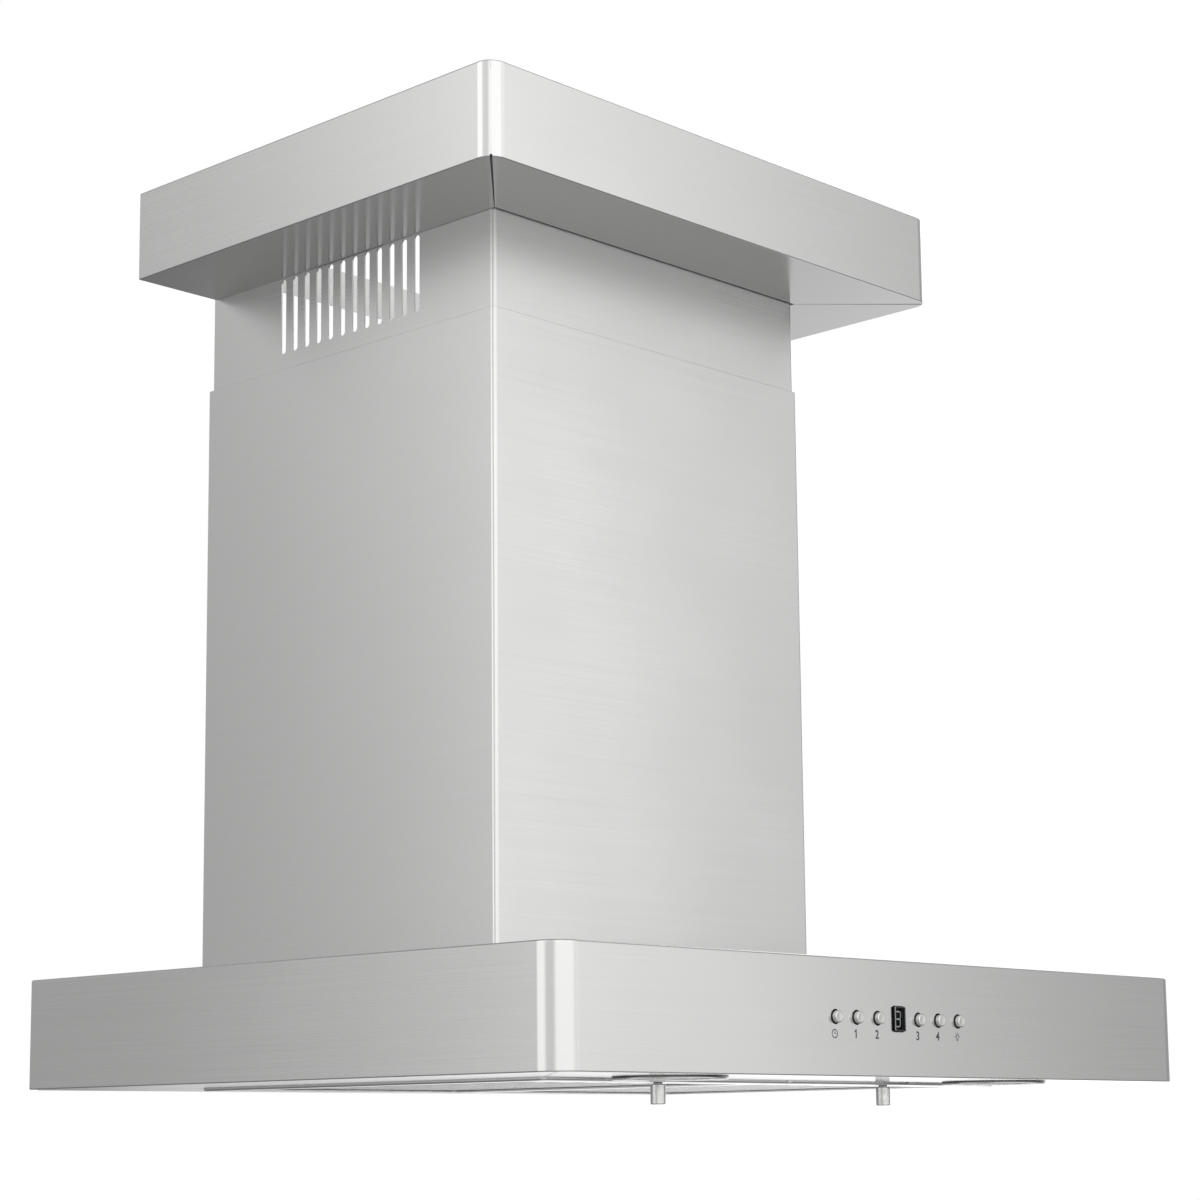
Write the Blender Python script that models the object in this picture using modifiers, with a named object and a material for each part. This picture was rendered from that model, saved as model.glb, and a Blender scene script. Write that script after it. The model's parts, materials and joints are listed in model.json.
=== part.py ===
"""Wall-mounted chimney range hood, 600 mm wide: slim canopy with push buttons, baffle filters and lamps,
a centrifugal blower with a back-draught damper, a telescopic chimney and a crown moulding.

Metres. +X is the hood's right seen from the room, -Y points into the room, +Z is up. The origin is the
middle of the canopy's back panel, on the wall."""

import math

import bmesh
import bpy
from mathutils import Matrix, Vector

# Driving dimensions
SHEET = 0.001
GAP = 0.0003

CANOPY_W, CANOPY_D, CANOPY_H = 0.600, 0.490, 0.070
CANOPY_CORNER_R = 0.016
RIM_Z, TOP_Z = -CANOPY_H / 2, CANOPY_H / 2
RIM_LIP = 0.012
BAY_HALF_W, BAY_FRONT, BAY_BACK = 0.218, -0.397, -0.085
BACK_HOLE_X, FIXING_R = 0.250, 0.003
REBATE_X, REBATE_Y = 0.284, -0.0135

FILTER_GAP = 0.0008
FILTER_DROP = 0.0018
FILTER_H = 0.012
FRONT_RAIL, BACK_RAIL, SIDE_RAIL = 0.030, 0.020, 0.012
LOWER_SLATS = 10
SLAT_W, SLAT_H = 0.013, 0.004
KNOB_R, KNOB_LENGTH, KNOB_NECK_R, KNOB_NECK = 0.0046, 0.012, 0.0027, 0.001
LATCH_TRAVEL = 0.005

LAMP_X, LAMP_Y = 0.157, -0.439
LAMP_RING_R, LAMP_WINDOW_R, LAMP_HOLE_R = 0.0337, 0.0250, 0.0285

CONTROL_X, CONTROL_Z, BUTTON_PITCH = -0.0086, -0.0004, 0.0199
BUTTON_R, BUTTON_HOLE_R, BUTTON_FLANGE_R = 0.0036, 0.0044, 0.0052
BUTTON_PROUD, BUTTON_TRAVEL = 0.0032, 0.0012
DISPLAY_W, DISPLAY_H, DISPLAY_PROUD = 0.0104, 0.0148, 0.0018

OUTER_W, OUTER_D, OUTER_TOP, CHIMNEY_R = 0.302, 0.290, 0.4575, 0.003
INNER_W, INNER_D, INNER_BACK = 0.299, 0.2855, -0.003
INNER_BOTTOM, INNER_TOP = 0.130, 0.576
BRACKET_HOLE_X, RAIL_HOLE_X, RAIL_HOLE_Z = 0.100, 0.090, 0.235
VENT_COUNT, VENT_PITCH, VENT_FIRST_Y = 12, 0.0124, -0.2158
VENT_W, VENT_BOTTOM, VENT_TOP = 0.005, 0.4692, 0.5222

CROWN_W, CROWN_D, CROWN_R = 0.440, 0.359, 0.012
CROWN_Z, CROWN_TOP = 0.5231, 0.5857
CROWN_HEM = 0.012
CROWN_BACK = -0.0075
CROWN_GAP, CROWN_FRONT_GAP = 0.0008, 0.0018

HOUSING_HALF_W, HOUSING_FRONT, HOUSING_BACK, HOUSING_TOP = 0.143, -0.275, -0.045, 0.300
AXLE_Y, AXLE_Z = -0.185, 0.1787
SCROLL_HALF_W, SCROLL_INLET_R = 0.050, 0.056
SCROLL_START_R, SCROLL_END_R = 0.078, 0.108
IMPELLER_R, IMPELLER_INNER_R, IMPELLER_HALF_W, BLADES = 0.069, 0.057, 0.042, 24
COLLAR_Y, COLLAR_R, COLLAR_H = -0.121, 0.075, 0.045
DAMPER_Z = HOUSING_TOP + 0.024
DAMPER_ROD_R, KNUCKLE_R, FLAP_R, FLAP_T = 0.0015, 0.0028, 0.0722, 0.0008

SEGMENTS = 32
ARC_STEPS = 6


# Scene and materials
def clear_scene():
    for thing in list(bpy.data.objects):
        bpy.data.objects.remove(thing, do_unlink=True)


def collection(name):
    made = bpy.data.collections.new(name)
    bpy.context.scene.collection.children.link(made)
    return made


def material(name, colour, roughness, metallic=0.0):
    made = bpy.data.materials.new(name)
    made.use_nodes = True
    shader = made.node_tree.nodes["Principled BSDF"]
    shader.inputs["Base Color"].default_value = (*colour, 1.0)
    shader.inputs["Roughness"].default_value = roughness
    shader.inputs["Metallic"].default_value = metallic
    return made


clear_scene()
PARTS = collection("range_hood")
CUTTERS = collection("range_hood_cutters")
CUTTERS.hide_render = True

BRUSHED = material("brushed_steel", (0.60, 0.60, 0.60), 0.32, 1.0)
POLISHED = material("polished_steel", (0.66, 0.66, 0.66), 0.15, 1.0)
GALVANISED = material("galvanised_steel", (0.52, 0.54, 0.55), 0.45, 1.0)
BUTTON_METAL = material("satin_aluminium", (0.80, 0.80, 0.79), 0.35, 1.0)
ALUMINIUM = material("cast_aluminium", (0.56, 0.57, 0.58), 0.50, 1.0)
LENS = material("frosted_lens", (0.92, 0.93, 0.93), 0.40)
SMOKED = material("smoked_window", (0.010, 0.010, 0.011), 0.12)
BLACK_PLASTIC = material("black_plastic", (0.022, 0.022, 0.024), 0.45)
BOARD = material("circuit_board", (0.020, 0.120, 0.060), 0.50)
MOTOR_STEEL = material("motor_steel", (0.35, 0.36, 0.37), 0.40, 1.0)


# Shapes
def place(name, mesh, finish, helper=False):
    """Puts a mesh in the scene as a sub-part, or as a cutter when helper is set."""
    made = bpy.data.objects.new(name, mesh)
    if helper:
        CUTTERS.objects.link(made)
        made.hide_render = True
        made.display_type = "WIRE"
    else:
        PARTS.objects.link(made)
        mesh.materials.append(finish)
    return made


def box(name, low, high, finish=None):
    low, high = Vector(low), Vector(high)
    shape = bmesh.new()
    bmesh.ops.create_cube(shape, size=1.0)
    bmesh.ops.scale(shape, vec=high - low, verts=shape.verts)
    mesh = bpy.data.meshes.new(name)
    shape.to_mesh(mesh)
    shape.free()
    made = place(name, mesh, finish, helper=finish is None)
    made.location = (low + high) / 2
    return made


def along(axis):
    """Rotation that takes local Z to the named axis."""
    return {
        "Z": Matrix.Identity(3),
        "X": Matrix(((0, 0, 1), (1, 0, 0), (0, 1, 0))),
        "Y": Matrix(((1, 0, 0), (0, 0, -1), (0, 1, 0))),
    }[axis]


def cylinder(name, radius, centre, length, axis="Z", finish=None, segments=24):
    shape = bmesh.new()
    bmesh.ops.create_cone(
        shape, cap_ends=True, segments=segments, radius1=radius, radius2=radius, depth=length
    )
    mesh = bpy.data.meshes.new(name)
    shape.to_mesh(mesh)
    shape.free()
    made = place(name, mesh, finish, helper=finish is None)
    made.matrix_world = Matrix.Translation(centre) @ along(axis).to_4x4()
    return made


def arc(centre, radius, start, end, steps=ARC_STEPS):
    """Points of an arc, with its two angles in degrees."""
    angles = [math.radians(start + (end - start) * i / steps) for i in range(steps + 1)]
    return [(centre[0] + radius * math.cos(a), centre[1] + radius * math.sin(a)) for a in angles]


def prism(name, loops, low, high, axis="Z", finish=None):
    """A flat outline, with any inner loops as holes, drawn out along an axis between two levels.

    The outline lies in XY for axis Z, in YZ for axis X, and in XZ for axis Y."""
    curve = bpy.data.curves.new(name, "CURVE")
    curve.dimensions = "2D"
    curve.fill_mode = "BOTH"
    curve.extrude = (high - low) / 2
    for loop in loops:
        line = curve.splines.new("POLY")
        line.points.add(len(loop) - 1)
        for point, (u, v) in zip(line.points, loop):
            point.co = (u, v, 0.0, 1.0)
        line.use_cyclic_u = True
    drawn = bpy.data.objects.new(name, curve)
    bpy.context.scene.collection.objects.link(drawn)
    bpy.context.view_layer.update()
    mesh = bpy.data.meshes.new_from_object(drawn.evaluated_get(bpy.context.evaluated_depsgraph_get()))
    bpy.data.objects.remove(drawn, do_unlink=True)
    shape = bmesh.new()
    shape.from_mesh(mesh)
    bmesh.ops.remove_doubles(shape, verts=shape.verts, dist=1e-6)
    bmesh.ops.recalc_face_normals(shape, faces=shape.faces)
    shape.to_mesh(mesh)
    shape.free()
    mesh.materials.clear()
    mesh.name = name
    made = place(name, mesh, finish, helper=finish is None)
    middle = {"Z": (0, 0, 1), "X": (1, 0, 0), "Y": (0, 1, 0)}[axis]
    shift = Vector(middle) * (low + high) / 2
    made.matrix_world = Matrix.Translation(shift) @ along(axis).to_4x4()
    return made


def turned(name, profile, centre, axis="Z", finish=None, ring=False, segments=SEGMENTS):
    """A profile of (radius, height), listed down its outer side, turned about an axis through centre."""
    mesh = bpy.data.meshes.new(name)
    points = [(radius, 0.0, height) for radius, height in profile]
    edges = [(i, i + 1) for i in range(len(points) - 1)]
    if ring:
        edges.append((len(points) - 1, 0))
    mesh.from_pydata(points, edges, [])
    made = place(name, mesh, finish, helper=finish is None)
    screw = made.modifiers.new("Turn", "SCREW")
    screw.steps = screw.render_steps = segments
    screw.use_merge_vertices = True
    screw.merge_threshold = 1e-5
    screw.use_smooth_shade = True
    made.matrix_world = Matrix.Translation(centre) @ along(axis).to_4x4()
    return made


def boolean(target, operation, tools):
    for tool in tools:
        step = target.modifiers.new(f"{operation.title()} {tool.name}", "BOOLEAN")
        step.operation = operation
        step.solver = "EXACT"
        step.object = tool
    return target


def cut(target, *tools):
    return boolean(target, "DIFFERENCE", tools)


def keep(target, tool):
    return boolean(target, "INTERSECT", [tool])


def join(target, pieces):
    """Unites helper shapes with a sub-part in one step."""
    group = bpy.data.collections.new(f"{target.name}_pieces")
    CUTTERS.children.link(group)
    group.hide_render = True
    for piece in pieces:
        CUTTERS.objects.unlink(piece)
        group.objects.link(piece)
    step = target.modifiers.new("Join", "BOOLEAN")
    step.operation = "UNION"
    step.solver = "EXACT"
    step.operand_type = "COLLECTION"
    step.collection = group
    return target


def moves(name, pivot, pieces):
    """Parents a moving body's pieces to an empty on its joint axis."""
    empty = bpy.data.objects.new(name, None)
    PARTS.objects.link(empty)
    empty.location = pivot
    for piece in pieces:
        piece.parent = empty
        piece.matrix_parent_inverse = Matrix.Translation(-Vector(pivot))
    return empty


def plan_outline(width, depth, radius, inset=0.0, back=0.0):
    """A rectangle against the wall with its two front corners rounded."""
    x, front, r = width / 2 - inset, -depth + inset, radius - inset
    return [
        (-x, back),
        *arc((-x + r, front + r), r, 180, 270),
        *arc((x - r, front + r), r, 270, 360),
        (x, back),
    ]


def rectangle(x0, y0, x1, y1):
    return [(x0, y0), (x1, y0), (x1, y1), (x0, y1)]


def mitre_regions(inner, outer, gap):
    """Plan regions left, in front and right of two mitre seams, which run from inner to outer corners."""
    start, end = Vector(inner), Vector(outer)
    reach = (end - start).normalized() * 0.05
    (ax, ay), (bx, by) = start - reach, end + reach
    right = [(ax + gap, ay), (bx + gap, by), (bx + 0.2, by), (bx + 0.2, 0.05), (ax + gap, 0.05)]
    front = [(-ax, ay - gap), (-bx, by - gap), (-bx, by - 0.1), (bx, by - 0.1), (bx, by - gap), (ax, ay - gap)]
    left = [(-x, y) for x, y in right]
    return {"left": left, "front": front, "right": right}


# Canopy
def screw_places():
    """Where the blower housing is screwed to the canopy's top."""
    return [(x, y) for x in (-0.11, 0.11) for y in (-0.2805, -0.037)]


def button_places():
    return [CONTROL_X + step * BUTTON_PITCH for step in (-3, -2, -1, 1, 2, 3)]


def rebates(name, x, y):
    """Cutters for the rear corners, where the sides stand clear of the wall."""
    span = RIM_Z - 0.01, TOP_Z + 0.01
    return [
        box(f"cut_{name}_rebate_left", (-CANOPY_W, y, span[0]), (-x, 0.01, span[1])),
        box(f"cut_{name}_rebate_right", (x, y, span[0]), (CANOPY_W, 0.01, span[1])),
    ]


def canopy_shell():
    shell = prism(
        "canopy_shell", [plan_outline(CANOPY_W, CANOPY_D, CANOPY_CORNER_R)], RIM_Z, TOP_Z, finish=BRUSHED
    )
    inside = plan_outline(CANOPY_W, CANOPY_D, CANOPY_CORNER_R, inset=SHEET, back=0.01)
    cut(shell, prism("cut_canopy_inside", [inside], RIM_Z - 0.01, TOP_Z - SHEET))
    cut(shell, *rebates("canopy", REBATE_X, REBATE_Y))
    half = HOUSING_HALF_W - 0.003
    duct = (-half, HOUSING_FRONT + 0.003, TOP_Z - 0.01), (half, HOUSING_BACK - 0.003, TOP_Z + 0.01)
    cut(shell, box("cut_canopy_duct", *duct))
    for i, (x, y) in enumerate(screw_places()):
        cut(shell, cylinder(f"cut_canopy_screw_{i}", 0.0023, (x, y, TOP_Z), 0.01, segments=16))
    cut(shell, cylinder("cut_canopy_gland", 0.0083, (0.10, -0.016, TOP_Z), 0.01))
    for i, x in enumerate(button_places()):
        cut(shell, cylinder(f"cut_button_{i}", BUTTON_HOLE_R, (x, -CANOPY_D, CONTROL_Z), 0.01, "Y"))
    w, h = DISPLAY_W / 2 + 0.0004, DISPLAY_H / 2 + 0.0004
    window = [
        *arc((w - 0.0012, h - 0.0012), 0.0012, 0, 90, 3),
        *arc((0.0012 - w, h - 0.0012), 0.0012, 90, 180, 3),
        *arc((0.0012 - w, 0.0012 - h), 0.0012, 180, 270, 3),
        *arc((w - 0.0012, 0.0012 - h), 0.0012, 270, 360, 3),
    ]
    window = [(CONTROL_X + x, CONTROL_Z + z) for x, z in window]
    cut(shell, prism("cut_display", [window], -CANOPY_D - 0.005, -CANOPY_D + 0.005, "Y"))


def canopy_rims():
    """Three mitred flanges that close the canopy's underside round the filter bay."""
    corner = (CANOPY_W / 2, -CANOPY_D)
    regions = mitre_regions((BAY_HALF_W, BAY_FRONT), corner, GAP)
    inset = SHEET + GAP
    outline = plan_outline(CANOPY_W, CANOPY_D, CANOPY_CORNER_R, inset, back=-inset)
    bay = rectangle(-BAY_HALF_W, BAY_FRONT, BAY_HALF_W, 0.05)
    lip_top = RIM_Z + RIM_LIP
    lipped = rectangle(-BAY_HALF_W - SHEET, BAY_FRONT - SHEET, BAY_HALF_W + SHEET, 0.05)
    hollow = plan_outline(CANOPY_W, CANOPY_D, CANOPY_CORNER_R, inset + SHEET, back=0.06)
    cut_bay = prism("cut_rim_bay", [bay], RIM_Z - 0.01, RIM_Z + 0.03)
    cut_hollow = prism("cut_rim_hollow", [hollow, lipped], RIM_Z + SHEET, RIM_Z + 0.03)
    cut_rear = rebates("rim", REBATE_X - SHEET - GAP, REBATE_Y - SHEET - GAP)
    for side, region in regions.items():
        rim = prism(f"canopy_rim_{side}", [outline], RIM_Z, lip_top, finish=BRUSHED)
        keep(rim, prism(f"region_rim_{side}", [region], RIM_Z - 0.01, RIM_Z + 0.03))
        cut(rim, cut_bay, cut_hollow)
        if side != "front":
            cut(rim, *cut_rear)
        else:
            for tag, x in (("left", -LAMP_X), ("right", LAMP_X)):
                cut(rim, cylinder(f"cut_lamp_{tag}", LAMP_HOLE_R, (x, LAMP_Y, RIM_Z), 0.01, segments=SEGMENTS))


def canopy_back():
    """Back panel stepped to the wall, with the rear flange of the filter bay bent forward from its foot."""
    half, top = CANOPY_W / 2 - SHEET - GAP, TOP_Z - SHEET - GAP
    panel = box("canopy_back", (-REBATE_X, -SHEET, RIM_Z), (REBATE_X, 0.0, top), BRUSHED)
    reach = BAY_HALF_W - GAP
    flange = box("piece_back_flange", (-reach, BAY_BACK, RIM_Z), (reach, -SHEET / 2, RIM_Z + SHEET))
    lip = box("piece_back_lip", (-reach, BAY_BACK, RIM_Z), (reach, BAY_BACK + SHEET, RIM_Z + RIM_LIP))
    steps = []
    for tag, side in (("left", -1), ("right", 1)):
        near, wall, far = (side * x for x in (REBATE_X - SHEET, REBATE_X, half))
        front = REBATE_Y - SHEET
        x0, x1 = sorted((near, wall))
        steps.append(box(f"piece_back_return_{tag}", (x0, front, RIM_Z), (x1, -SHEET / 2, top)))
        x0, x1 = sorted((near, far))
        steps.append(box(f"piece_back_wing_{tag}", (x0, front, RIM_Z), (x1, REBATE_Y, top)))
    join(panel, [flange, lip, *steps])
    for tag, x in (("left", -BACK_HOLE_X), ("right", BACK_HOLE_X)):
        cut(panel, cylinder(f"cut_back_hole_{tag}", FIXING_R, (x, 0, 0), 0.01, "Y"))


# Filters
def filter_frame(side, x0, x1, y0, y1, z):
    """Tray-shaped frame with a window for the baffles, a slot for the knob and two rear hooks."""
    frame = box(f"filter_frame_{side}", (x0, y0, z), (x1, y1, z + FILTER_H), BRUSHED)
    tray = (x0 + SHEET, y0 + SHEET, z + SHEET), (x1 - SHEET, y1 - SHEET, z + FILTER_H + 0.01)
    window = (x0 + SIDE_RAIL, y0 + FRONT_RAIL, z - 0.01), (x1 - SIDE_RAIL, y1 - BACK_RAIL, z + 0.005)
    knob_x, knob_y = (x0 + x1) / 2, y0 + 0.011
    slot = KNOB_NECK_R + 0.0004
    knob_slot = (knob_x - slot, knob_y - slot, z - 0.01), (knob_x + slot, knob_y + slot + LATCH_TRAVEL, z + 0.005)
    latch_slot = (knob_x - 0.0125, y0 - 0.01, z + 0.0011), (knob_x + 0.0125, y0 + 0.0015, z + 0.0032)
    cut(
        frame,
        box(f"cut_tray_{side}", *tray),
        box(f"cut_window_{side}", *window),
        box(f"cut_knob_slot_{side}", *knob_slot),
        box(f"cut_latch_slot_{side}", *latch_slot),
    )
    hooks = []
    for i, x in enumerate((x0 + 0.045, x1 - 0.045)):
        riser = (x - 0.01, y1 - SHEET, z + FILTER_H - 0.002), (x + 0.01, y1, z + 0.0155)
        tab = (x - 0.01, y1 - SHEET, z + 0.0145), (x + 0.01, y1 + 0.008, z + 0.0155)
        hooks += [box(f"piece_riser_{side}_{i}", *riser), box(f"piece_tab_{side}_{i}", *tab)]
    return join(frame, hooks)


def filter_baffles(side, x0, x1, y0, y1, z):
    """Two staggered rows of channel slats, held by a strip across each end."""
    low_x, high_x = x0 + SHEET + GAP, x1 - SHEET - GAP
    low_y, high_y = y0 + FRONT_RAIL - 0.0015, y1 - SHEET - GAP
    floor, top = z + SHEET + GAP, z + 0.0113
    strips = [(low_y, low_y + SHEET), (high_y - SHEET, high_y)]
    pack = box(f"filter_baffles_{side}", (low_x, strips[0][0], floor), (high_x, strips[0][1], top), BRUSHED)
    pieces = [box(f"piece_strip_{side}", (low_x, strips[1][0], floor), (high_x, strips[1][1], top))]
    pitch = (high_x - low_x - 0.002) / LOWER_SLATS

    def channel(name, middle, base, height):
        """A slat that opens towards its own height: up when height is positive."""
        half, wall = SLAT_W / 2, math.copysign(SHEET * 0.8, height)
        rise = base + height
        outline = [
            (middle - half, base), (middle + half, base), (middle + half, rise),
            (middle + half - abs(wall), rise), (middle + half - abs(wall), base + wall),
            (middle - half + abs(wall), base + wall), (middle - half + abs(wall), rise),
            (middle - half, rise),
        ]
        return prism(name, [outline], low_y + SHEET / 2, high_y - SHEET / 2, "Y")

    for i in range(LOWER_SLATS):
        middle = low_x + 0.001 + pitch * (i + 0.5)
        pieces.append(channel(f"piece_lower_{side}_{i}", middle, floor, SLAT_H))
        if i:
            pieces.append(channel(f"piece_upper_{side}_{i}", middle - pitch / 2, top, -SLAT_H))
    return join(pack, pieces)


def filter_latch(side, x, y0, z):
    """Spring catch that slides in the front rail; its rounded nose presses on the bay's front lip."""
    base = z + SHEET + GAP
    front, nose = y0 + 0.0016, y0 - FILTER_GAP + GAP
    outline = [
        (x - 0.018, front), (x - 0.0115, front), *arc((x - 0.0095, nose + 0.002), 0.002, 180, 270, 4),
        *arc((x + 0.0095, nose + 0.002), 0.002, 270, 360, 4), (x + 0.0115, front), (x + 0.018, front),
        (x + 0.018, y0 + 0.0225), (x - 0.018, y0 + 0.0225),
    ]
    return prism(f"filter_latch_{side}", [outline], base, base + 0.0012, finish=GALVANISED)


def filter_knob(side, x, y, z):
    """Small turned pull knob below the front rail, on a thinner neck."""
    neck_top, neck_foot = SHEET, -KNOB_NECK
    foot = neck_foot - KNOB_LENGTH
    profile = [
        (0.0, neck_top), (KNOB_NECK_R, neck_top), (KNOB_NECK_R, neck_foot), (KNOB_R - 0.0003, neck_foot),
        (KNOB_R, neck_foot - 0.0003), (KNOB_R, foot + 0.0005), (KNOB_R - 0.0005, foot), (0.0, foot),
    ]
    return turned(f"filter_knob_{side}", profile, (x, y, z), finish=POLISHED, segments=24)


def filters():
    z = RIM_Z - FILTER_DROP
    y0, y1 = BAY_FRONT + FILTER_GAP, BAY_BACK - FILTER_GAP
    for side, x0, x1 in (
        ("left", -BAY_HALF_W + FILTER_GAP, -FILTER_GAP / 2),
        ("right", FILTER_GAP / 2, BAY_HALF_W - FILTER_GAP),
    ):
        knob_x, knob_y = (x0 + x1) / 2, y0 + 0.011
        frame = filter_frame(side, x0, x1, y0, y1, z)
        baffles = filter_baffles(side, x0, x1, y0, y1, z)
        hinge = moves(f"filter_hinge_{side}", (knob_x, y1, z), [frame, baffles])
        latch = filter_latch(side, knob_x, y0, z)
        knob = filter_knob(side, knob_x, knob_y, z)
        slide = moves(f"latch_slide_{side}", (knob_x, knob_y, z), [latch, knob])
        slide.parent = hinge
        slide.matrix_parent_inverse = Matrix.Translation(-hinge.location)


# Lamps
def lamp(side, x):
    ring = [
        (LAMP_RING_R - 0.0015, RIM_Z - GAP), (LAMP_RING_R, RIM_Z - GAP - 0.0005),
        (LAMP_RING_R - 0.0006, RIM_Z - 0.0016), (LAMP_RING_R - 0.002, RIM_Z - 0.002),
        (LAMP_WINDOW_R + 0.001, RIM_Z - 0.002), (LAMP_WINDOW_R, RIM_Z - 0.0012),
        (LAMP_WINDOW_R, RIM_Z - 0.0006), (LAMP_WINDOW_R + 0.0018, RIM_Z - 0.0006),
        (LAMP_WINDOW_R + 0.0018, RIM_Z + 0.006), (LAMP_WINDOW_R + 0.0028, RIM_Z + 0.006),
        (LAMP_WINDOW_R + 0.0028, RIM_Z - GAP),
    ]
    turned(f"lamp_ring_{side}", ring, (x, LAMP_Y, 0), finish=POLISHED, ring=True)
    lens_r = LAMP_WINDOW_R + 0.0014
    lens = [(0, RIM_Z + 0.0012), (lens_r, RIM_Z + 0.0012), (lens_r, RIM_Z - 0.0003), (0, RIM_Z - 0.0003)]
    turned(f"lamp_lens_{side}", lens, (x, LAMP_Y, 0), finish=LENS)
    body = [
        (0, RIM_Z + 0.030), (0.012, RIM_Z + 0.030), (0.014, RIM_Z + 0.027), (lens_r - 0.003, RIM_Z + 0.026),
        (lens_r, RIM_Z + 0.022), (lens_r, RIM_Z + 0.0015), (0, RIM_Z + 0.0015),
    ]
    turned(f"lamp_body_{side}", body, (x, LAMP_Y, 0), finish=ALUMINIUM)


# Controls
def button(name, x):
    """Round push button; a flange behind the fascia keeps it in its guide."""
    face, flange = BUTTON_PROUD, -SHEET - 0.0006
    profile = [
        (0.0, face), (BUTTON_R - 0.0008, face - 0.0001), (BUTTON_R, face - 0.0007), (BUTTON_R, flange),
        (BUTTON_FLANGE_R, flange), (BUTTON_FLANGE_R, flange - 0.0012), (BUTTON_R - 0.0004, flange - 0.0012),
        (BUTTON_R - 0.0004, -0.0095), (0.0, -0.0095),
    ]
    made = turned(name, profile, (x, -CANOPY_D, CONTROL_Z), "Y", BUTTON_METAL, segments=24)
    moves(f"{name}_slide", (x, -CANOPY_D, CONTROL_Z), [made])


def controls():
    names = ("button_power", "button_speed_1", "button_speed_2", "button_speed_3", "button_speed_4", "button_light")
    for name, x in zip(names, button_places()):
        button(name, x)
    front, back = -CANOPY_D + SHEET + GAP, -CANOPY_D + 0.0093
    half = 3 * BUTTON_PITCH + 0.012
    guide = box(
        "button_guide", (CONTROL_X - half, front, CONTROL_Z - 0.013), (CONTROL_X + half, back, CONTROL_Z + 0.013),
        BLACK_PLASTIC,
    )
    for i, x in enumerate(button_places()):
        cut(guide, cylinder(f"cut_guide_bore_{i}", BUTTON_R + 0.0002, (x, back, CONTROL_Z), 0.03, "Y"))
        cut(guide, cylinder(f"cut_guide_seat_{i}", 0.0056, (x, front, CONTROL_Z), 0.0064, "Y"))
    w, h = DISPLAY_W / 2 + GAP, DISPLAY_H / 2 + GAP
    hole = (CONTROL_X - w, front - 0.01, CONTROL_Z - h), (CONTROL_X + w, back + 0.01, CONTROL_Z + h)
    cut(guide, box("cut_guide_display", *hole))
    low = (CONTROL_X - DISPLAY_W / 2, -CANOPY_D - DISPLAY_PROUD, CONTROL_Z - DISPLAY_H / 2)
    high = (CONTROL_X + DISPLAY_W / 2, -CANOPY_D + 0.0125, CONTROL_Z + DISPLAY_H / 2)
    display = box("display_module", low, high, SMOKED)
    edge = display.modifiers.new("Edge", "BEVEL")
    edge.width = 0.0004
    edge.segments = 2
    board_y = -CANOPY_D + 0.0160
    board = box(
        "switch_board", (CONTROL_X - half, board_y, CONTROL_Z - 0.012),
        (CONTROL_X + half, board_y + 0.0016, CONTROL_Z + 0.012), BOARD,
    )
    pieces = []
    for i, x in enumerate(button_places()):
        low = (x - 0.003, board_y - 0.0035, CONTROL_Z - 0.003)
        pieces.append(box(f"piece_switch_{i}", low, (x + 0.003, board_y + 0.0005, CONTROL_Z + 0.003)))
        plunger = (x, board_y - 0.0035, CONTROL_Z)
        pieces.append(cylinder(f"piece_plunger_{i}", 0.0016, plunger, 0.0028, "Y", segments=12))
    join(board, pieces)


def electrics():
    """Driver box and motor capacitor under the canopy's top, and the mains cable's gland above it."""
    top = TOP_Z - SHEET - GAP
    cover = box("power_box", (0.230, -0.310, -0.010), (0.290, -0.190, top), ALUMINIUM)
    edge = cover.modifiers.new("Edge", "BEVEL")
    edge.width = 0.002
    edge.segments = 2
    can = [(0, 0.030), (0.013, 0.030), (0.015, 0.028), (0.015, -0.028), (0.013, -0.030), (0, -0.030)]
    turned("motor_capacitor", can, (0.255, -0.130, top - 0.0155), "Y", finish=BLACK_PLASTIC)
    gland = [
        (0.0045, 0.020), (0.0075, 0.018), (0.0095, 0.012), (0.0095, 0.006), (0.012, 0.006), (0.012, 0.0003),
        (0.008, 0.0003), (0.008, -0.008), (0.0045, -0.008),
    ]
    turned("cable_gland", gland, (0.10, -0.016, TOP_Z), finish=BLACK_PLASTIC, ring=True, segments=24)


# Blower
def blower_housing():
    foot = TOP_Z + GAP
    half, front, back = HOUSING_HALF_W, HOUSING_FRONT, HOUSING_BACK
    shell = box("blower_housing", (-half, front, foot), (half, back, HOUSING_TOP), GALVANISED)
    flange = box("piece_housing_flange", (-half, front - 0.011, foot), (half, back + 0.015, foot + SHEET))
    join(shell, [flange])
    inside = (SHEET - half, front + SHEET, foot - 0.01), (half - SHEET, back - SHEET, HOUSING_TOP - SHEET)
    cut(shell, box("cut_housing_inside", *inside))
    cut(shell, cylinder("cut_housing_outlet", 0.070, (0, COLLAR_Y, HOUSING_TOP), 0.01, segments=SEGMENTS))
    for i, (x, y) in enumerate(screw_places()):
        cut(shell, cylinder(f"cut_housing_screw_{i}", 0.0023, (x, y, foot), 0.01, segments=16))
    tags = ("front_left", "back_left", "front_right", "back_right")
    ordered = sorted(screw_places(), key=lambda place: (place[0], place[1]))
    for tag, (x, y) in zip(tags, ordered):
        head = foot + SHEET + GAP
        profile = [
            (0, head + 0.0022), (0.0025, head + 0.0021), (0.0038, head + 0.0010), (0.004, head), (0.0018, head),
            (0.0018, TOP_Z - 0.008), (0, TOP_Z - 0.008),
        ]
        turned(f"housing_screw_{tag}", profile, (x, y, 0), finish=POLISHED, segments=16)


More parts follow.
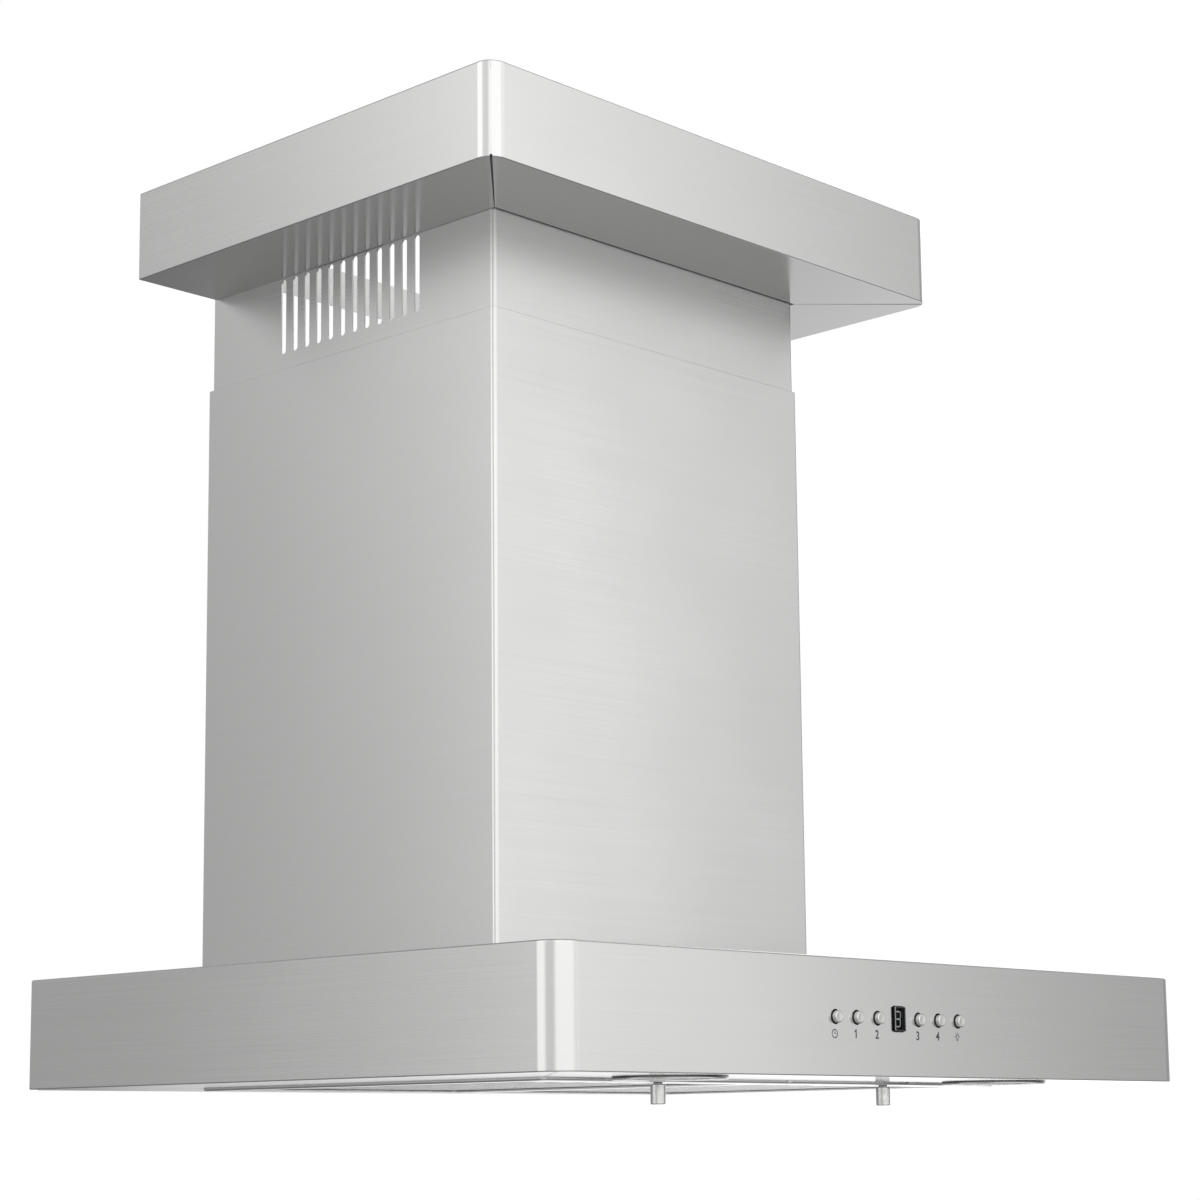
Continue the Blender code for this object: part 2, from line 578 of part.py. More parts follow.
def scroll_outline(shrink=0.0, rise=0.0):
    """Volute in the YZ plane: a spiral from the tongue round to the straight outlet wall."""
    points = []
    steps = 30
    for i in range(steps + 1):
        share = i / steps
        angle = math.radians(75 + 285 * share)
        radius = SCROLL_START_R + (SCROLL_END_R - SCROLL_START_R) * share - shrink
        points.append((AXLE_Y + radius * math.cos(angle), AXLE_Z + radius * math.sin(angle)))
    outlet_top = HOUSING_TOP - SHEET - GAP + rise
    points.append((points[-1][0], outlet_top))
    points.append((points[0][0] + shrink, outlet_top))
    return points


def blower_scroll():
    half = SCROLL_HALF_W
    scroll = prism("blower_scroll", [scroll_outline()], -half, half, "X", GALVANISED)
    inside = scroll_outline(shrink=SHEET, rise=0.01)
    cut(scroll, prism("cut_scroll_inside", [inside], SHEET - half, half - SHEET, "X"))
    cut(scroll, cylinder("cut_scroll_inlet", SCROLL_INLET_R, (0, AXLE_Y, AXLE_Z), 0.2, "X", segments=SEGMENTS))


def impeller():
    """Squirrel-cage wheel: blades between two end rings, on a hub disc that the shaft drives."""
    centre = (0, AXLE_Y, AXLE_Z)
    disc = [(IMPELLER_R - 0.001, 0.001), (IMPELLER_R - 0.001, -0.001), (0.0043, -0.001), (0.0043, 0.001)]
    wheel = turned("impeller", disc, centre, "X", BLACK_PLASTIC, ring=True, segments=48)
    pieces = []
    for tag, level in (("left", -IMPELLER_HALF_W), ("right", IMPELLER_HALF_W)):
        low, high = level - 0.0015, level + 0.0015
        rim = [(IMPELLER_R, high), (IMPELLER_R, low), (IMPELLER_INNER_R, low), (IMPELLER_INNER_R, high)]
        pieces.append(turned(f"piece_rim_{tag}", rim, centre, "X", ring=True, segments=48))
    hub = [(0.012, 0.008), (0.012, -0.004), (0.0043, -0.004), (0.0043, 0.008)]
    pieces.append(turned("piece_hub", hub, centre, "X", ring=True, segments=24))
    middle = (IMPELLER_R + IMPELLER_INNER_R) / 2
    for i in range(BLADES):
        angle = math.tau * i / BLADES
        blade = box(f"piece_blade_{i}", (-IMPELLER_HALF_W, -0.0052, -0.0005), (IMPELLER_HALF_W, 0.0052, 0.0005))
        spoke = Matrix.Rotation(angle, 4, "X") @ Matrix.Translation((0, middle, 0))
        lean = Matrix.Rotation(math.radians(35), 4, "X")
        blade.matrix_world = Matrix.Translation(centre) @ spoke @ lean
        pieces.append(blade)
    join(wheel, pieces)
    shaft_profile = [(0, 0.022), (0.0035, 0.022), (0.004, 0.0215), (0.004, -0.0125), (0, -0.0125)]
    shaft = turned("motor_shaft", shaft_profile, centre, "X", POLISHED, segments=24)
    moves("impeller_spin", centre, [wheel, shaft])


def motor():
    """Motor on the fan's left, inside its inlet, and the three-armed bracket that carries it."""
    centre = (0, AXLE_Y, AXLE_Z)
    can = [
        (0, -0.0130), (0.010, -0.0130), (0.010, -0.0150), (0.033, -0.0155), (0.036, -0.019), (0.036, -0.058),
        (0.033, -0.062), (0.012, -0.063), (0.012, -0.067), (0, -0.067),
    ]
    turned("blower_motor", can, centre, "X", MOTOR_STEEL)
    outer_r, low, high = SCROLL_INLET_R + 0.008, -SCROLL_HALF_W - GAP - 0.002, -SCROLL_HALF_W - GAP
    ring = [(outer_r, high), (outer_r, low), (SCROLL_INLET_R, low), (SCROLL_INLET_R, high)]
    bracket = turned("motor_bracket", ring, centre, "X", GALVANISED, ring=True)
    band = [(0.0393, high), (0.0393, low - 0.003), (0.0363, low - 0.003), (0.0363, high)]
    pieces = [turned("piece_motor_band", band, centre, "X", ring=True)]
    for i in range(3):
        arm = box(f"piece_motor_arm_{i}", (low, 0.0375, -0.005), (high, SCROLL_INLET_R + 0.004, 0.005))
        arm.matrix_world = (
            Matrix.Translation(centre)
            @ Matrix.Rotation(math.radians(90 + 120 * i), 4, "X")
            @ Matrix.Translation(((low + high) / 2, (0.0375 + SCROLL_INLET_R + 0.004) / 2, 0))
        )
        pieces.append(arm)
    join(bracket, pieces)


# Outlet and back-draught damper
def duct_collar():
    base = HOUSING_TOP + GAP
    stop = DAMPER_Z - FLAP_T / 2 - GAP
    profile = [
        (COLLAR_R, base + COLLAR_H), (COLLAR_R, base + SHEET), (COLLAR_R + 0.008, base + SHEET),
        (COLLAR_R + 0.008, base), (COLLAR_R - SHEET, base), (COLLAR_R - SHEET, stop - SHEET),
        (COLLAR_R - 0.0045, stop - SHEET), (COLLAR_R - 0.0045, stop), (COLLAR_R - SHEET, stop),
        (COLLAR_R - SHEET, base + COLLAR_H),
    ]
    collar = turned("duct_collar", profile, (0, COLLAR_Y, 0), finish=BLACK_PLASTIC, ring=True, segments=48)
    rod_hole = cylinder("cut_rod_holes", DAMPER_ROD_R + GAP, (0, COLLAR_Y, DAMPER_Z), 0.2, "X", segments=16)
    cut(collar, rod_hole)
    cylinder("damper_rod", DAMPER_ROD_R, (0, COLLAR_Y, DAMPER_Z), 2 * COLLAR_R, "X", POLISHED, 16)


def damper_flap(name, side, knuckles):
    """Half-round flap on the collar's cross rod; side is -1 for the front flap and 1 for the back one."""
    edge = 0.0033
    reach = math.degrees(math.asin(edge / FLAP_R))
    half_disc = [(x, side * y) for x, y in arc((0, 0), FLAP_R, reach, 180 - reach, 20)]
    outline = [(x, COLLAR_Y + y) for x, y in half_disc]
    flap = prism(name, [outline], DAMPER_Z - FLAP_T / 2, DAMPER_Z + FLAP_T / 2, finish=GALVANISED)
    pieces = []
    for i, x in enumerate(knuckles):
        loops = [arc((COLLAR_Y, DAMPER_Z), r, 0, 345, 23) for r in (KNUCKLE_R, DAMPER_ROD_R + GAP)]
        pieces.append(prism(f"piece_knuckle_{name}_{i}", loops, x - 0.007, x + 0.007, "X"))
        near, far = sorted((COLLAR_Y + side * 0.0022, COLLAR_Y + side * 0.0045))
        low = (x - 0.007, near, DAMPER_Z - FLAP_T / 2)
        pieces.append(box(f"piece_leaf_{name}_{i}", low, (x + 0.007, far, DAMPER_Z + FLAP_T / 2)))
    join(flap, pieces)
    moves(f"{name}_hinge", (0, COLLAR_Y, DAMPER_Z), [flap])


# Chimney and crown
def cover_outline(width, depth, back, hem):
    """Plan section of a three-sided sheet cover, open at the wall, with an optional hem at each back edge."""
    def path(inset):
        x, front, r = width / 2 - inset, back - depth + inset, CHIMNEY_R - inset
        rear = back if not (inset and hem) else back - inset
        bends = [*arc((-x + r, front + r), r, 180, 270, 4), *arc((x - r, front + r), r, 270, 360, 4)]
        left = [(-width / 2 + hem, rear)] if hem else []
        right = [(width / 2 - hem, rear)] if hem else []
        return [*left, (-x, rear), *bends, (x, rear), *right]

    return [*path(0.0), *reversed(path(SHEET))]


def slot_outline(y):
    r = VENT_W / 2
    return [*arc((y, VENT_TOP - r), r, 0, 180), *arc((y, VENT_BOTTOM + r), r, 180, 360)]


def chimney():
    foot = TOP_Z + GAP
    prism("outer_chimney", [cover_outline(OUTER_W, OUTER_D, 0.0, 0.012)], foot, OUTER_TOP, finish=BRUSHED)
    guide_w, guide_d = OUTER_W - 2 * (SHEET + GAP), OUTER_D - SHEET - GAP - 0.0013
    guide = cover_outline(guide_w, guide_d, -0.0013, 0.0)
    prism("chimney_guide", [guide], foot, foot + 0.012, finish=GALVANISED)
    inner = prism(
        "inner_chimney", [cover_outline(INNER_W, INNER_D, INNER_BACK, 0.0)], INNER_BOTTOM, INNER_TOP, finish=BRUSHED
    )
    for i in range(VENT_COUNT):
        slot = slot_outline(VENT_FIRST_Y + i * VENT_PITCH)
        cut(inner, prism(f"cut_vent_{i}", [slot], -0.2, 0.2, "X"))
    cut(inner, cylinder("cut_chimney_screws", 0.0023, (0, -0.022, 0.560), 0.4, "X", segments=16))
    return inner


def wall_bracket():
    """Strip on the wall near the ceiling, with an ear inside each wall of the inner cover."""
    half, low, high = INNER_W / 2 - SHEET - 0.0005, 0.545, 0.573
    bracket = box("chimney_wall_bracket", (-half, -0.002, low), (half, 0.0, high), GALVANISED)
    left = box("piece_ear_left", (-half, -0.040, low), (SHEET - half, -0.001, high))
    right = box("piece_ear_right", (half - SHEET, -0.040, low), (half, -0.001, high))
    join(bracket, [left, right])
    cut(bracket, cylinder("cut_ear_screws", 0.0022, (0, -0.022, 0.560), 0.4, "X", segments=16))
    for tag, x in (("left", -BRACKET_HOLE_X), ("right", BRACKET_HOLE_X)):
        cut(bracket, cylinder(f"cut_bracket_hole_{tag}", FIXING_R, (x, 0, (low + high) / 2), 0.01, "Y"))
    made = [bracket]
    for side, sign in (("left", -1), ("right", 1)):
        face = INNER_W / 2 + GAP
        profile = [
            (0, face + 0.0022), (0.0025, face + 0.0021), (0.0038, face + 0.0010), (0.004, face), (0.0018, face),
            (0.0018, face - 0.008), (0, face - 0.008),
        ]
        screw = turned(f"chimney_screw_{side}", profile, (0, 0, 0), "X", POLISHED, segments=16)
        turn = Matrix.Rotation(math.pi if sign < 0 else 0.0, 4, "Z")
        screw.matrix_world = Matrix.Translation((0, -0.022, 0.560)) @ turn @ along("X").to_4x4()
        made.append(screw)
    return made


def crown():
    """Three mitred lengths of moulding round the top of the chimney, and the angles that hold them."""
    hole_x, hole_y = INNER_W / 2 + CROWN_GAP, INNER_BACK - INNER_D - CROWN_FRONT_GAP
    regions = mitre_regions((hole_x, hole_y), (CROWN_W / 2, -CROWN_D), GAP)
    low, high = CROWN_Z, CROWN_TOP
    hole = prism("cut_crown_hole", [rectangle(-hole_x, hole_y, hole_x, 0.05)], low - 0.01, low + 0.02)
    inside = plan_outline(CROWN_W, CROWN_D, CROWN_R, SHEET, back=0.02)
    hollow = prism("cut_crown_inside", [inside], low + SHEET, high - SHEET)
    mouth = rectangle(CROWN_HEM - CROWN_W / 2, CROWN_HEM - CROWN_D, CROWN_W / 2 - CROWN_HEM, 0.05)
    top = prism("cut_crown_top", [mouth], high - 0.01, high + 0.01)
    made = []
    for side, region in regions.items():
        outline = plan_outline(CROWN_W, CROWN_D, CROWN_R, back=CROWN_BACK)
        piece = prism(f"crown_{side}", [outline], low, high, finish=BRUSHED)
        keep(piece, prism(f"region_crown_{side}", [region], low - 0.01, high + 0.01))
        cut(piece, hole, hollow, top)
        made.append(piece)
    floor = CROWN_Z + SHEET + GAP
    x, y = INNER_W / 2 + GAP, INNER_BACK - INNER_D - GAP
    legs = {
        "left": ((-x - 0.001, -0.180, floor), (-x, -0.110, floor + 0.015), (-x - 0.015, -0.180, floor)),
        "right": ((x, -0.180, floor), (x + 0.001, -0.110, floor + 0.015), (x + 0.015, -0.110, floor)),
        "front": ((-0.035, y - 0.001, floor), (0.035, y, floor + 0.015), (-0.035, y - 0.015, floor)),
    }
    for side, (leg_low, leg_high, toe) in legs.items():
        angle = box(f"crown_bracket_{side}", leg_low, leg_high, GALVANISED)
        ends = [Vector(leg_low), Vector(leg_high), Vector(toe)]
        foot_low = [min(end[k] for end in ends) for k in range(2)]
        foot_high = [max(end[k] for end in ends) for k in range(2)]
        foot = box(f"piece_toe_{side}", (*foot_low, floor), (*foot_high, floor + SHEET))
        made.append(join(angle, [foot]))
    return made


def upper_chimney():
    moves("chimney_slide", (0, 0, OUTER_TOP), [chimney(), *wall_bracket(), *crown()])


def hangers():
    """Rail screwed to the wall, and the hook on the blower housing that drops over it."""
    rail = box("hanger_rail", (-0.120, -0.002, 0.215), (0.120, 0.0, 0.265), GALVANISED)
    ledge = box("piece_rail_ledge", (-0.120, -0.012, 0.255), (0.120, -0.001, 0.257))
    upstand = box("piece_rail_upstand", (-0.120, -0.012, 0.255), (0.120, -0.010, 0.270))
    join(rail, [ledge, upstand])
    for tag, x in (("left", -RAIL_HOLE_X), ("right", RAIL_HOLE_X)):
        cut(rail, cylinder(f"cut_rail_hole_{tag}", FIXING_R, (x, 0, RAIL_HOLE_Z), 0.01, "Y"))
    plate_y = HOUSING_BACK + GAP
    hook = box("hanger_hook", (-0.100, plate_y, 0.225), (0.100, plate_y + 0.002, 0.285), GALVANISED)
    shelf = box("piece_hook_shelf", (-0.100, plate_y, 0.283), (0.100, -0.005, 0.285))
    drop = box("piece_hook_drop", (-0.100, -0.0075, 0.262), (0.100, -0.005, 0.285))
    join(hook, [shelf, drop])


canopy_shell()
canopy_rims()
canopy_back()
filters()
lamp("left", -LAMP_X)
lamp("right", LAMP_X)
controls()
electrics()
blower_housing()
blower_scroll()
impeller()
motor()
duct_collar()
damper_flap("damper_flap_front", -1, (-0.045, 0.045))
damper_flap("damper_flap_back", 1, (-0.020, 0.020))
upper_chimney()
hangers()
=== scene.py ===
"""Looks of the chimney range hood: brushed steel sheet work, controls, lamps, filters and the parts inside.

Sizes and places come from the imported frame, in metres: +X to the hood's right, -Y into the room, +Z up."""

import json
import math

import bmesh
import bpy
from mathutils import Matrix, Vector

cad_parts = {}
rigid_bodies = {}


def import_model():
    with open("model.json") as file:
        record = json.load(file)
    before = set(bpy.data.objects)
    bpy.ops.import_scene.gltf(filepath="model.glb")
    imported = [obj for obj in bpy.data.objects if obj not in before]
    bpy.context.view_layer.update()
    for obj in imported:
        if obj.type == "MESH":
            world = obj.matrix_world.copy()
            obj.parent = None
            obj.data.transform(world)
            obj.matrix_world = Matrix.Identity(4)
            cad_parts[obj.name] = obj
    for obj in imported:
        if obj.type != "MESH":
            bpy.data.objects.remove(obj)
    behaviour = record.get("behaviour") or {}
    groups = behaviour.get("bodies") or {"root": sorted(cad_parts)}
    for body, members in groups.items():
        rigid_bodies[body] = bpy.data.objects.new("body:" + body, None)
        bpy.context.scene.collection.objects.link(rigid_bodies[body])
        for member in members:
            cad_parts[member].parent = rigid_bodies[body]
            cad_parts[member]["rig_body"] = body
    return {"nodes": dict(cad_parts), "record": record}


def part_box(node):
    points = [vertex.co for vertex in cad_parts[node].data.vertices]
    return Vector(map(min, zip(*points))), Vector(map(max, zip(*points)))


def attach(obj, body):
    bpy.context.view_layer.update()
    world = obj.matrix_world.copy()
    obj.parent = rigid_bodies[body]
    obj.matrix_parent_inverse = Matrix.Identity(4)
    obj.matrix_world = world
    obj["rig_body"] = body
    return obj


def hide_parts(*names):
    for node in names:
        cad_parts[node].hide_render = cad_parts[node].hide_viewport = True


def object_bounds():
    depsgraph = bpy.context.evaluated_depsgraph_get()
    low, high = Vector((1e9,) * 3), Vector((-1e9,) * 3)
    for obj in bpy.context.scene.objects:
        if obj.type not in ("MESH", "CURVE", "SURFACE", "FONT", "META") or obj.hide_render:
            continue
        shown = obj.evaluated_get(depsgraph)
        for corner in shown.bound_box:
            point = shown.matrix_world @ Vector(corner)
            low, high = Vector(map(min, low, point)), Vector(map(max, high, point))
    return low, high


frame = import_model()
cad_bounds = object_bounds()

# Sheet work: thickness, outer bend radii, and the plan radius of each near corner
SHEET = 0.001
FOLD, FOOT_FOLD = 0.0014, 0.0008
CANOPY_CORNER, CROWN_CORNER, CHIMNEY_CORNER = 0.016, 0.012, 0.003
FOLD_STEPS, CORNER_STEPS, CHIMNEY_STEPS = 4, 20, 10

# Softened edges: most pieces, chimney cover, fine work, filter trays, thin strips
EDGE, COVER_EDGE, FINE_EDGE, TRAY_EDGE, THIN_EDGE = 0.0002, 0.0003, 0.00015, 0.00012, 0.0001

# Meshes: the sharpest bend that shades smooth, the bend that still counts as flat, how upright the normal of
# a level face is, the distance that welds points, how far a cutter passes its work, and a reach past the hood
SHARP_ANGLE = math.radians(35)
FLAT_ANGLE = math.radians(0.3)
LEVEL_NORMAL = 0.7
WELD = 1e-6
PAST, OUTSIDE = 0.01, 0.2

# Canopy: stepped rear corners and the openings for buttons, window, duct and gland
REBATE_X, REBATE_Y = 0.284, -0.0135
BUTTON_R, BUTTON_HOLE_R = 0.0036, 0.0044
WINDOW_GAP, WINDOW_HOLE_CORNER = 0.0004, 0.0012
GLAND_HOLE_R = 0.0083
DUCT_CLEAR, DUCT_FRONT, DUCT_BACK = 0.003, 0.011, 0.015

# Crown: gaps round the chimney, mitre seams that widen outwards, black strips of painted shade behind the
# seams and in the gap in front of the chimney
MITRE_GAP = 0.00008
CROWN_SIDE_GAP, CROWN_FRONT_GAP = 0.0008, 0.0018
CROWN_HEM = 0.012
SEAM_INNER, SEAM_OUTER, SEAM_DEPTH = 0.0003, 0.0008, 0.0015
SEAM_SHADE_START, SEAM_SHADE_END = 0.03, 0.925
SEAM_SHADE_HALF, SEAM_SHADE_GAP, SEAM_SHADE_H = 0.0015, 0.00005, 0.004
GAP_SHADE_FOOT, GAP_SHADE_TOP, GAP_SHADE_DEPTH, GAP_SHADE_RETURN = 0.0003, 0.0016, 0.0014, 0.0016
# How far in from the moulding's edges its inside faces start to get the dark grey painted shade
INSIDE_SHADE_INSET = 0.0009

# Chimney: slots in the upper cover, hems on the lower one, and screw holes
VENT_COUNT, VENT_PITCH, VENT_FIRST_Y = 12, 0.0124, -0.2158
VENT_W, VENT_BOTTOM, VENT_TOP = 0.005, 0.4692, 0.5222
CHIMNEY_HEM = 0.012
SCREW_HOLE_R = 0.0023

# Filters: the tray's height and rails, its corners, its rear hooks, its openings for knob and latch, slats
FILTER_H, FRONT_RAIL, BACK_RAIL, SIDE_RAIL = 0.012, 0.030, 0.020, 0.012
TRAY_CORNER, TRAY_WINDOW_CORNER = 0.0025, 0.003
HOOK_REACH, HOOK_INSET, HOOK_HALF, HOOK_TAIL = 0.008, 0.045, 0.01, 0.002
KNOB_SLOT_HALF, KNOB_SLOT_CORNER, KNOB_SLOT_RUN = 0.0031, 0.0029, 0.005
LATCH_SLOT_HALF, LATCH_UNDER, LATCH_OVER = 0.0125, 0.0002, 0.0007
LOWER_SLATS, SLAT_W, SLAT_H = 10, 0.013, 0.004

# Lamps: the bezel's seat and width, and the lens's ridges
LAMP_SEAT, BEZEL_W = 0.00195, 0.0087
LENS_RIDGES, LENS_RELIEF = 16, 0.0003

# Controls: the buttons' black foot, the window's corner, the printed labels and the digit
BUTTON_SKIRT, BUTTON_FLANGE_R = 0.0007, 0.0052
SCREEN_CORNER = 0.0009
INK, LABEL_DROP, LABEL_SHIFT, LABEL_SIZE, LABEL_BOLD = 0.00004, 0.0099, -0.0011, 0.0073, 0.00014
DIGIT_W, DIGIT_H, DIGIT_LINE, DIGIT_GAP, DIGIT_LEAN = 0.0047, 0.0090, 0.0008, 0.00015, 0.06
DIGIT_SHIFT, DIGIT_SET_BACK = 0.0006, 0.0026

# Camera and stage
CAMERA_PLACE = (-1.3492, -1.5248, -0.0727)
CAMERA_YAW, CAMERA_PITCH, CAMERA_ROLL = (math.radians(a) for a in (-46.3195, 9.0515, -0.5541))
CAMERA_LENS, CAMERA_SHIFT = 83.57, 0.0833
FLOOR_DROP, FLOOR_HALF, FLOOR_TONE = 3.0, 40.0, (0.95, 0.95, 0.95)

# Studio light as (position, strength): around goes once round from the hood's left by the front, the right
# and the back, with bands that lean slightly; upward goes from straight down to straight up
LIGHT_AROUND = [
    (0.000, 0.92), (0.090, 0.92), (0.108, 1.45), (0.300, 1.45), (0.330, 1.14), (0.372, 1.31),
    (0.3875, 1.29), (0.396, 0.89), (0.403, 0.61), (0.411, 0.48), (0.450, 0.43), (0.500, 0.50),
    (0.560, 1.75), (0.604, 1.75), (0.622, 1.40), (0.645, 0.90), (0.655, 0.45), (0.700, 0.45),
    (0.8486, 0.46), (0.861, 0.51), (0.872, 0.69), (0.881, 0.89), (0.890, 1.45), (0.984, 1.45), (1.000, 0.92),
]
LIGHT_UPWARD = [
    (0.0, 0.5), (0.335, 0.56), (0.47, 0.97), (0.525, 1.0), (0.600, 1.08), (0.665, 1.2), (0.75, 1.1),
    (1.0, 0.7),
]
LIGHT_LEAN = 0.03


# Node materials
def node(tree, kind, inputs=None, **settings):
    """Adds a shader node; inputs maps sockets to values or to other nodes' outputs."""
    made = tree.nodes.new("ShaderNode" + kind)
    for key, value in settings.items():
        setattr(made, key, value)
    for key, value in (inputs or {}).items():
        if isinstance(value, bpy.types.NodeSocket):
            tree.links.new(value, made.inputs[key])
        else:
            made.inputs[key].default_value = value
    return made


def surface(name, colour, roughness, metallic=0.0, **sockets):
    made = bpy.data.materials.new(name)
    made.use_nodes = True
    shader = made.node_tree.nodes["Principled BSDF"]
    shader.inputs["Base Color"].default_value = (*colour, 1.0)
    shader.inputs["Roughness"].default_value = roughness
    shader.inputs["Metallic"].default_value = metallic
    for key, value in sockets.items():
        shader.inputs[key.replace("_", " ")].default_value = value
    return made, made.node_tree, shader


def noise(tree, place, scale, detail=2.0, stretch=(1.0, 1.0, 1.0)):
    mapped = node(tree, "Mapping", {"Vector": place, "Scale": stretch}).outputs["Vector"]
    return node(tree, "TexNoise", {"Vector": mapped, "Scale": scale, "Detail": detail}).outputs["Fac"]


def ranged(tree, value, low, high, start=0.3, end=0.7):
    inputs = {"Value": value, "From Min": start, "From Max": end, "To Min": low, "To Max": high}
    return node(tree, "MapRange", inputs, clamp=True).outputs["Result"]


def combined(tree, operation, first, second):
    return node(tree, "Math", {0: first, 1: second}, operation=operation).outputs["Value"]


def shaded(tree, shader, colour, factor):
    """Multiplies the base colour by a grey factor."""
    grey = node(tree, "CombineColor", {"Red": factor, "Green": factor, "Blue": factor}).outputs["Color"]
    mix = node(tree, "Mix", {0: 1.0, 6: (*colour, 1.0), 7: grey}, data_type="RGBA", blend_type="MULTIPLY")
    tree.links.new(mix.outputs[2], shader.inputs["Base Color"])


def raised(tree, shader, height, strength, distance):
    bump = node(tree, "Bump", {"Height": height, "Strength": strength, "Distance": distance})
    tree.links.new(bump.outputs["Normal"], shader.inputs["Normal"])


def brushed(name, along, colour, roughness, spread=0.5):
    """Satin steel with fine parallel brushing along one axis, faint wipe marks and slow tone drift."""
    made, tree, shader = surface(name, colour, roughness, 1.0, Anisotropic=spread, Anisotropic_Rotation=0.25)
    place = node(tree, "TexCoord").outputs["Object"]
    tangent = node(tree, "Tangent", direction_type="RADIAL", axis="Y" if along == "flat" else "Z")
    tree.links.new(tangent.outputs["Tangent"], shader.inputs["Tangent"])
    grain = {"level": (2, 2, 900), "flat": (2, 900, 900)}[along]
    lines = noise(tree, place, 3.0, 3.0, grain)
    bands = noise(tree, place, 1.0, 2.0, tuple(s * 0.2 for s in grain))
    smudge = noise(tree, place, 9.0, 3.0)
    gloss = ranged(tree, lines, roughness - 0.02, roughness + 0.03)
    rough = combined(tree, "ADD", gloss, ranged(tree, smudge, -0.01, 0.02))
    tree.links.new(rough, shader.inputs["Roughness"])
    tone = combined(tree, "MULTIPLY", ranged(tree, lines, 0.984, 1.016), ranged(tree, bands, 0.994, 1.006))
    shaded(tree, shader, colour, tone)
    raised(tree, shader, lines, 0.025, 0.000014)
    return made


def polished(name, colour, roughness):
    """Metal with a faint haze."""
    made, tree, shader = surface(name, colour, roughness, 1.0)
    place = node(tree, "TexCoord").outputs["Object"]
    haze = noise(tree, place, 220.0, 3.0)
    tree.links.new(ranged(tree, haze, roughness * 0.8, roughness * 1.5), shader.inputs["Roughness"])
    shaded(tree, shader, colour, ranged(tree, haze, 0.97, 1.02))
    raised(tree, shader, haze, 0.04, 0.00003)
    return made


def galvanised(name, colour, roughness):
    """Zinc coat: crystal patches with their own tone and gloss."""
    made, tree, shader = surface(name, colour, roughness, 1.0)
    place = node(tree, "TexCoord").outputs["Object"]
    patches = node(tree, "TexVoronoi", {"Vector": place, "Scale": 110.0, "Randomness": 1.0})
    cell = node(tree, "SeparateColor", {"Color": patches.outputs["Color"]}).outputs["Red"]
    drift = noise(tree, place, 14.0, 3.0)
    patch_tone = ranged(tree, cell, 0.90, 1.08, 0.0, 1.0)
    shaded(tree, shader, colour, combined(tree, "MULTIPLY", patch_tone, ranged(tree, drift, 0.94, 1.04)))
    gloss = ranged(tree, cell, roughness - 0.08, roughness + 0.10, 0.0, 1.0)
    tree.links.new(gloss, shader.inputs["Roughness"])
    raised(tree, shader, drift, 0.1, 0.0002)
    return made


def moulded(name, colour, roughness, grain=1800.0, depth=0.00003, specular=0.5):
    """Plastic or lacquer with a fine even grain and slightly uneven gloss."""
    made, tree, shader = surface(name, colour, roughness, Specular_IOR_Level=specular)
    place = node(tree, "TexCoord").outputs["Object"]
    texture = noise(tree, place, grain, 2.0)
    cloud = noise(tree, place, 40.0, 3.0)
    tree.links.new(ranged(tree, cloud, roughness - 0.05, roughness + 0.06), shader.inputs["Roughness"])
    shaded(tree, shader, colour, ranged(tree, cloud, 0.88, 1.08))
    raised(tree, shader, texture, 0.3, depth)
    return made


def frosted(name, colour, roughness):
    """Glass with a fine sandblasted face."""
    made, tree, shader = surface(name, colour, roughness)
    place = node(tree, "TexCoord").outputs["Object"]
    speck = noise(tree, place, 1500.0, 2.0)
    shaded(tree, shader, colour, ranged(tree, speck, 0.95, 1.02))
    raised(tree, shader, speck, 0.2, 0.00004)
    return made


STEEL_LEVEL = brushed("steel_brushed_level", "level", (0.62, 0.62, 0.615), 0.24)
STEEL_CHIMNEY = brushed("steel_brushed_chimney", "level", (0.69, 0.69, 0.685), 0.29, 0.92)
# Level faces: brushing that lies flat, and a darker base that is painted shade
STEEL_FLAT_SHADED = brushed("steel_brushed_flat_shaded", "flat", (0.46, 0.46, 0.457), 0.16)
POLISHED = polished("steel_polished", (0.66, 0.66, 0.655), 0.24)
ZINC = galvanised("steel_galvanised", (0.52, 0.54, 0.55), 0.38)
CAST = moulded("aluminium_cast", (0.42, 0.43, 0.44), 0.5, 900.0, 0.00008)
SATIN = polished("aluminium_satin", (0.64, 0.64, 0.63), 0.30)
# Black for the plastic parts, and as painted shade in the crown's seams and in the gap in front of the
# chimney
BLACK_AND_SHADE = moulded("plastic_black_and_painted_shade", (0.022, 0.022, 0.024), 0.45)
# White for the bracket inside the chimney, as painted light that shows through the slots
SLOT_LIGHT_WHITE = moulded("slot_painted_light_white", (0.88, 0.88, 0.87), 0.4)
# Dark grey painted shade for the faces inside the crown moulding
INSIDE_SHADE = moulded("inside_painted_shade_grey", (0.13, 0.13, 0.135), 0.5)
WINDOW = moulded("window_smoked", (0.003, 0.003, 0.0035), 0.22, 300.0, 0.00001, 0.12)
WINDOW_EDGE = polished("window_edge", (0.26, 0.26, 0.26), 0.15)
BOARD = moulded("board_green", (0.02, 0.12, 0.06), 0.45)
MOTOR = moulded("motor_lacquer", (0.10, 0.105, 0.11), 0.38, 700.0, 0.00005)
LENS = frosted("lens_frosted", (0.86, 0.87, 0.87), 0.35)
PRINT = moulded("print_dark", (0.035, 0.035, 0.037), 0.55)
DIGIT = moulded("digit_pale", (0.30, 0.31, 0.31), 0.4)

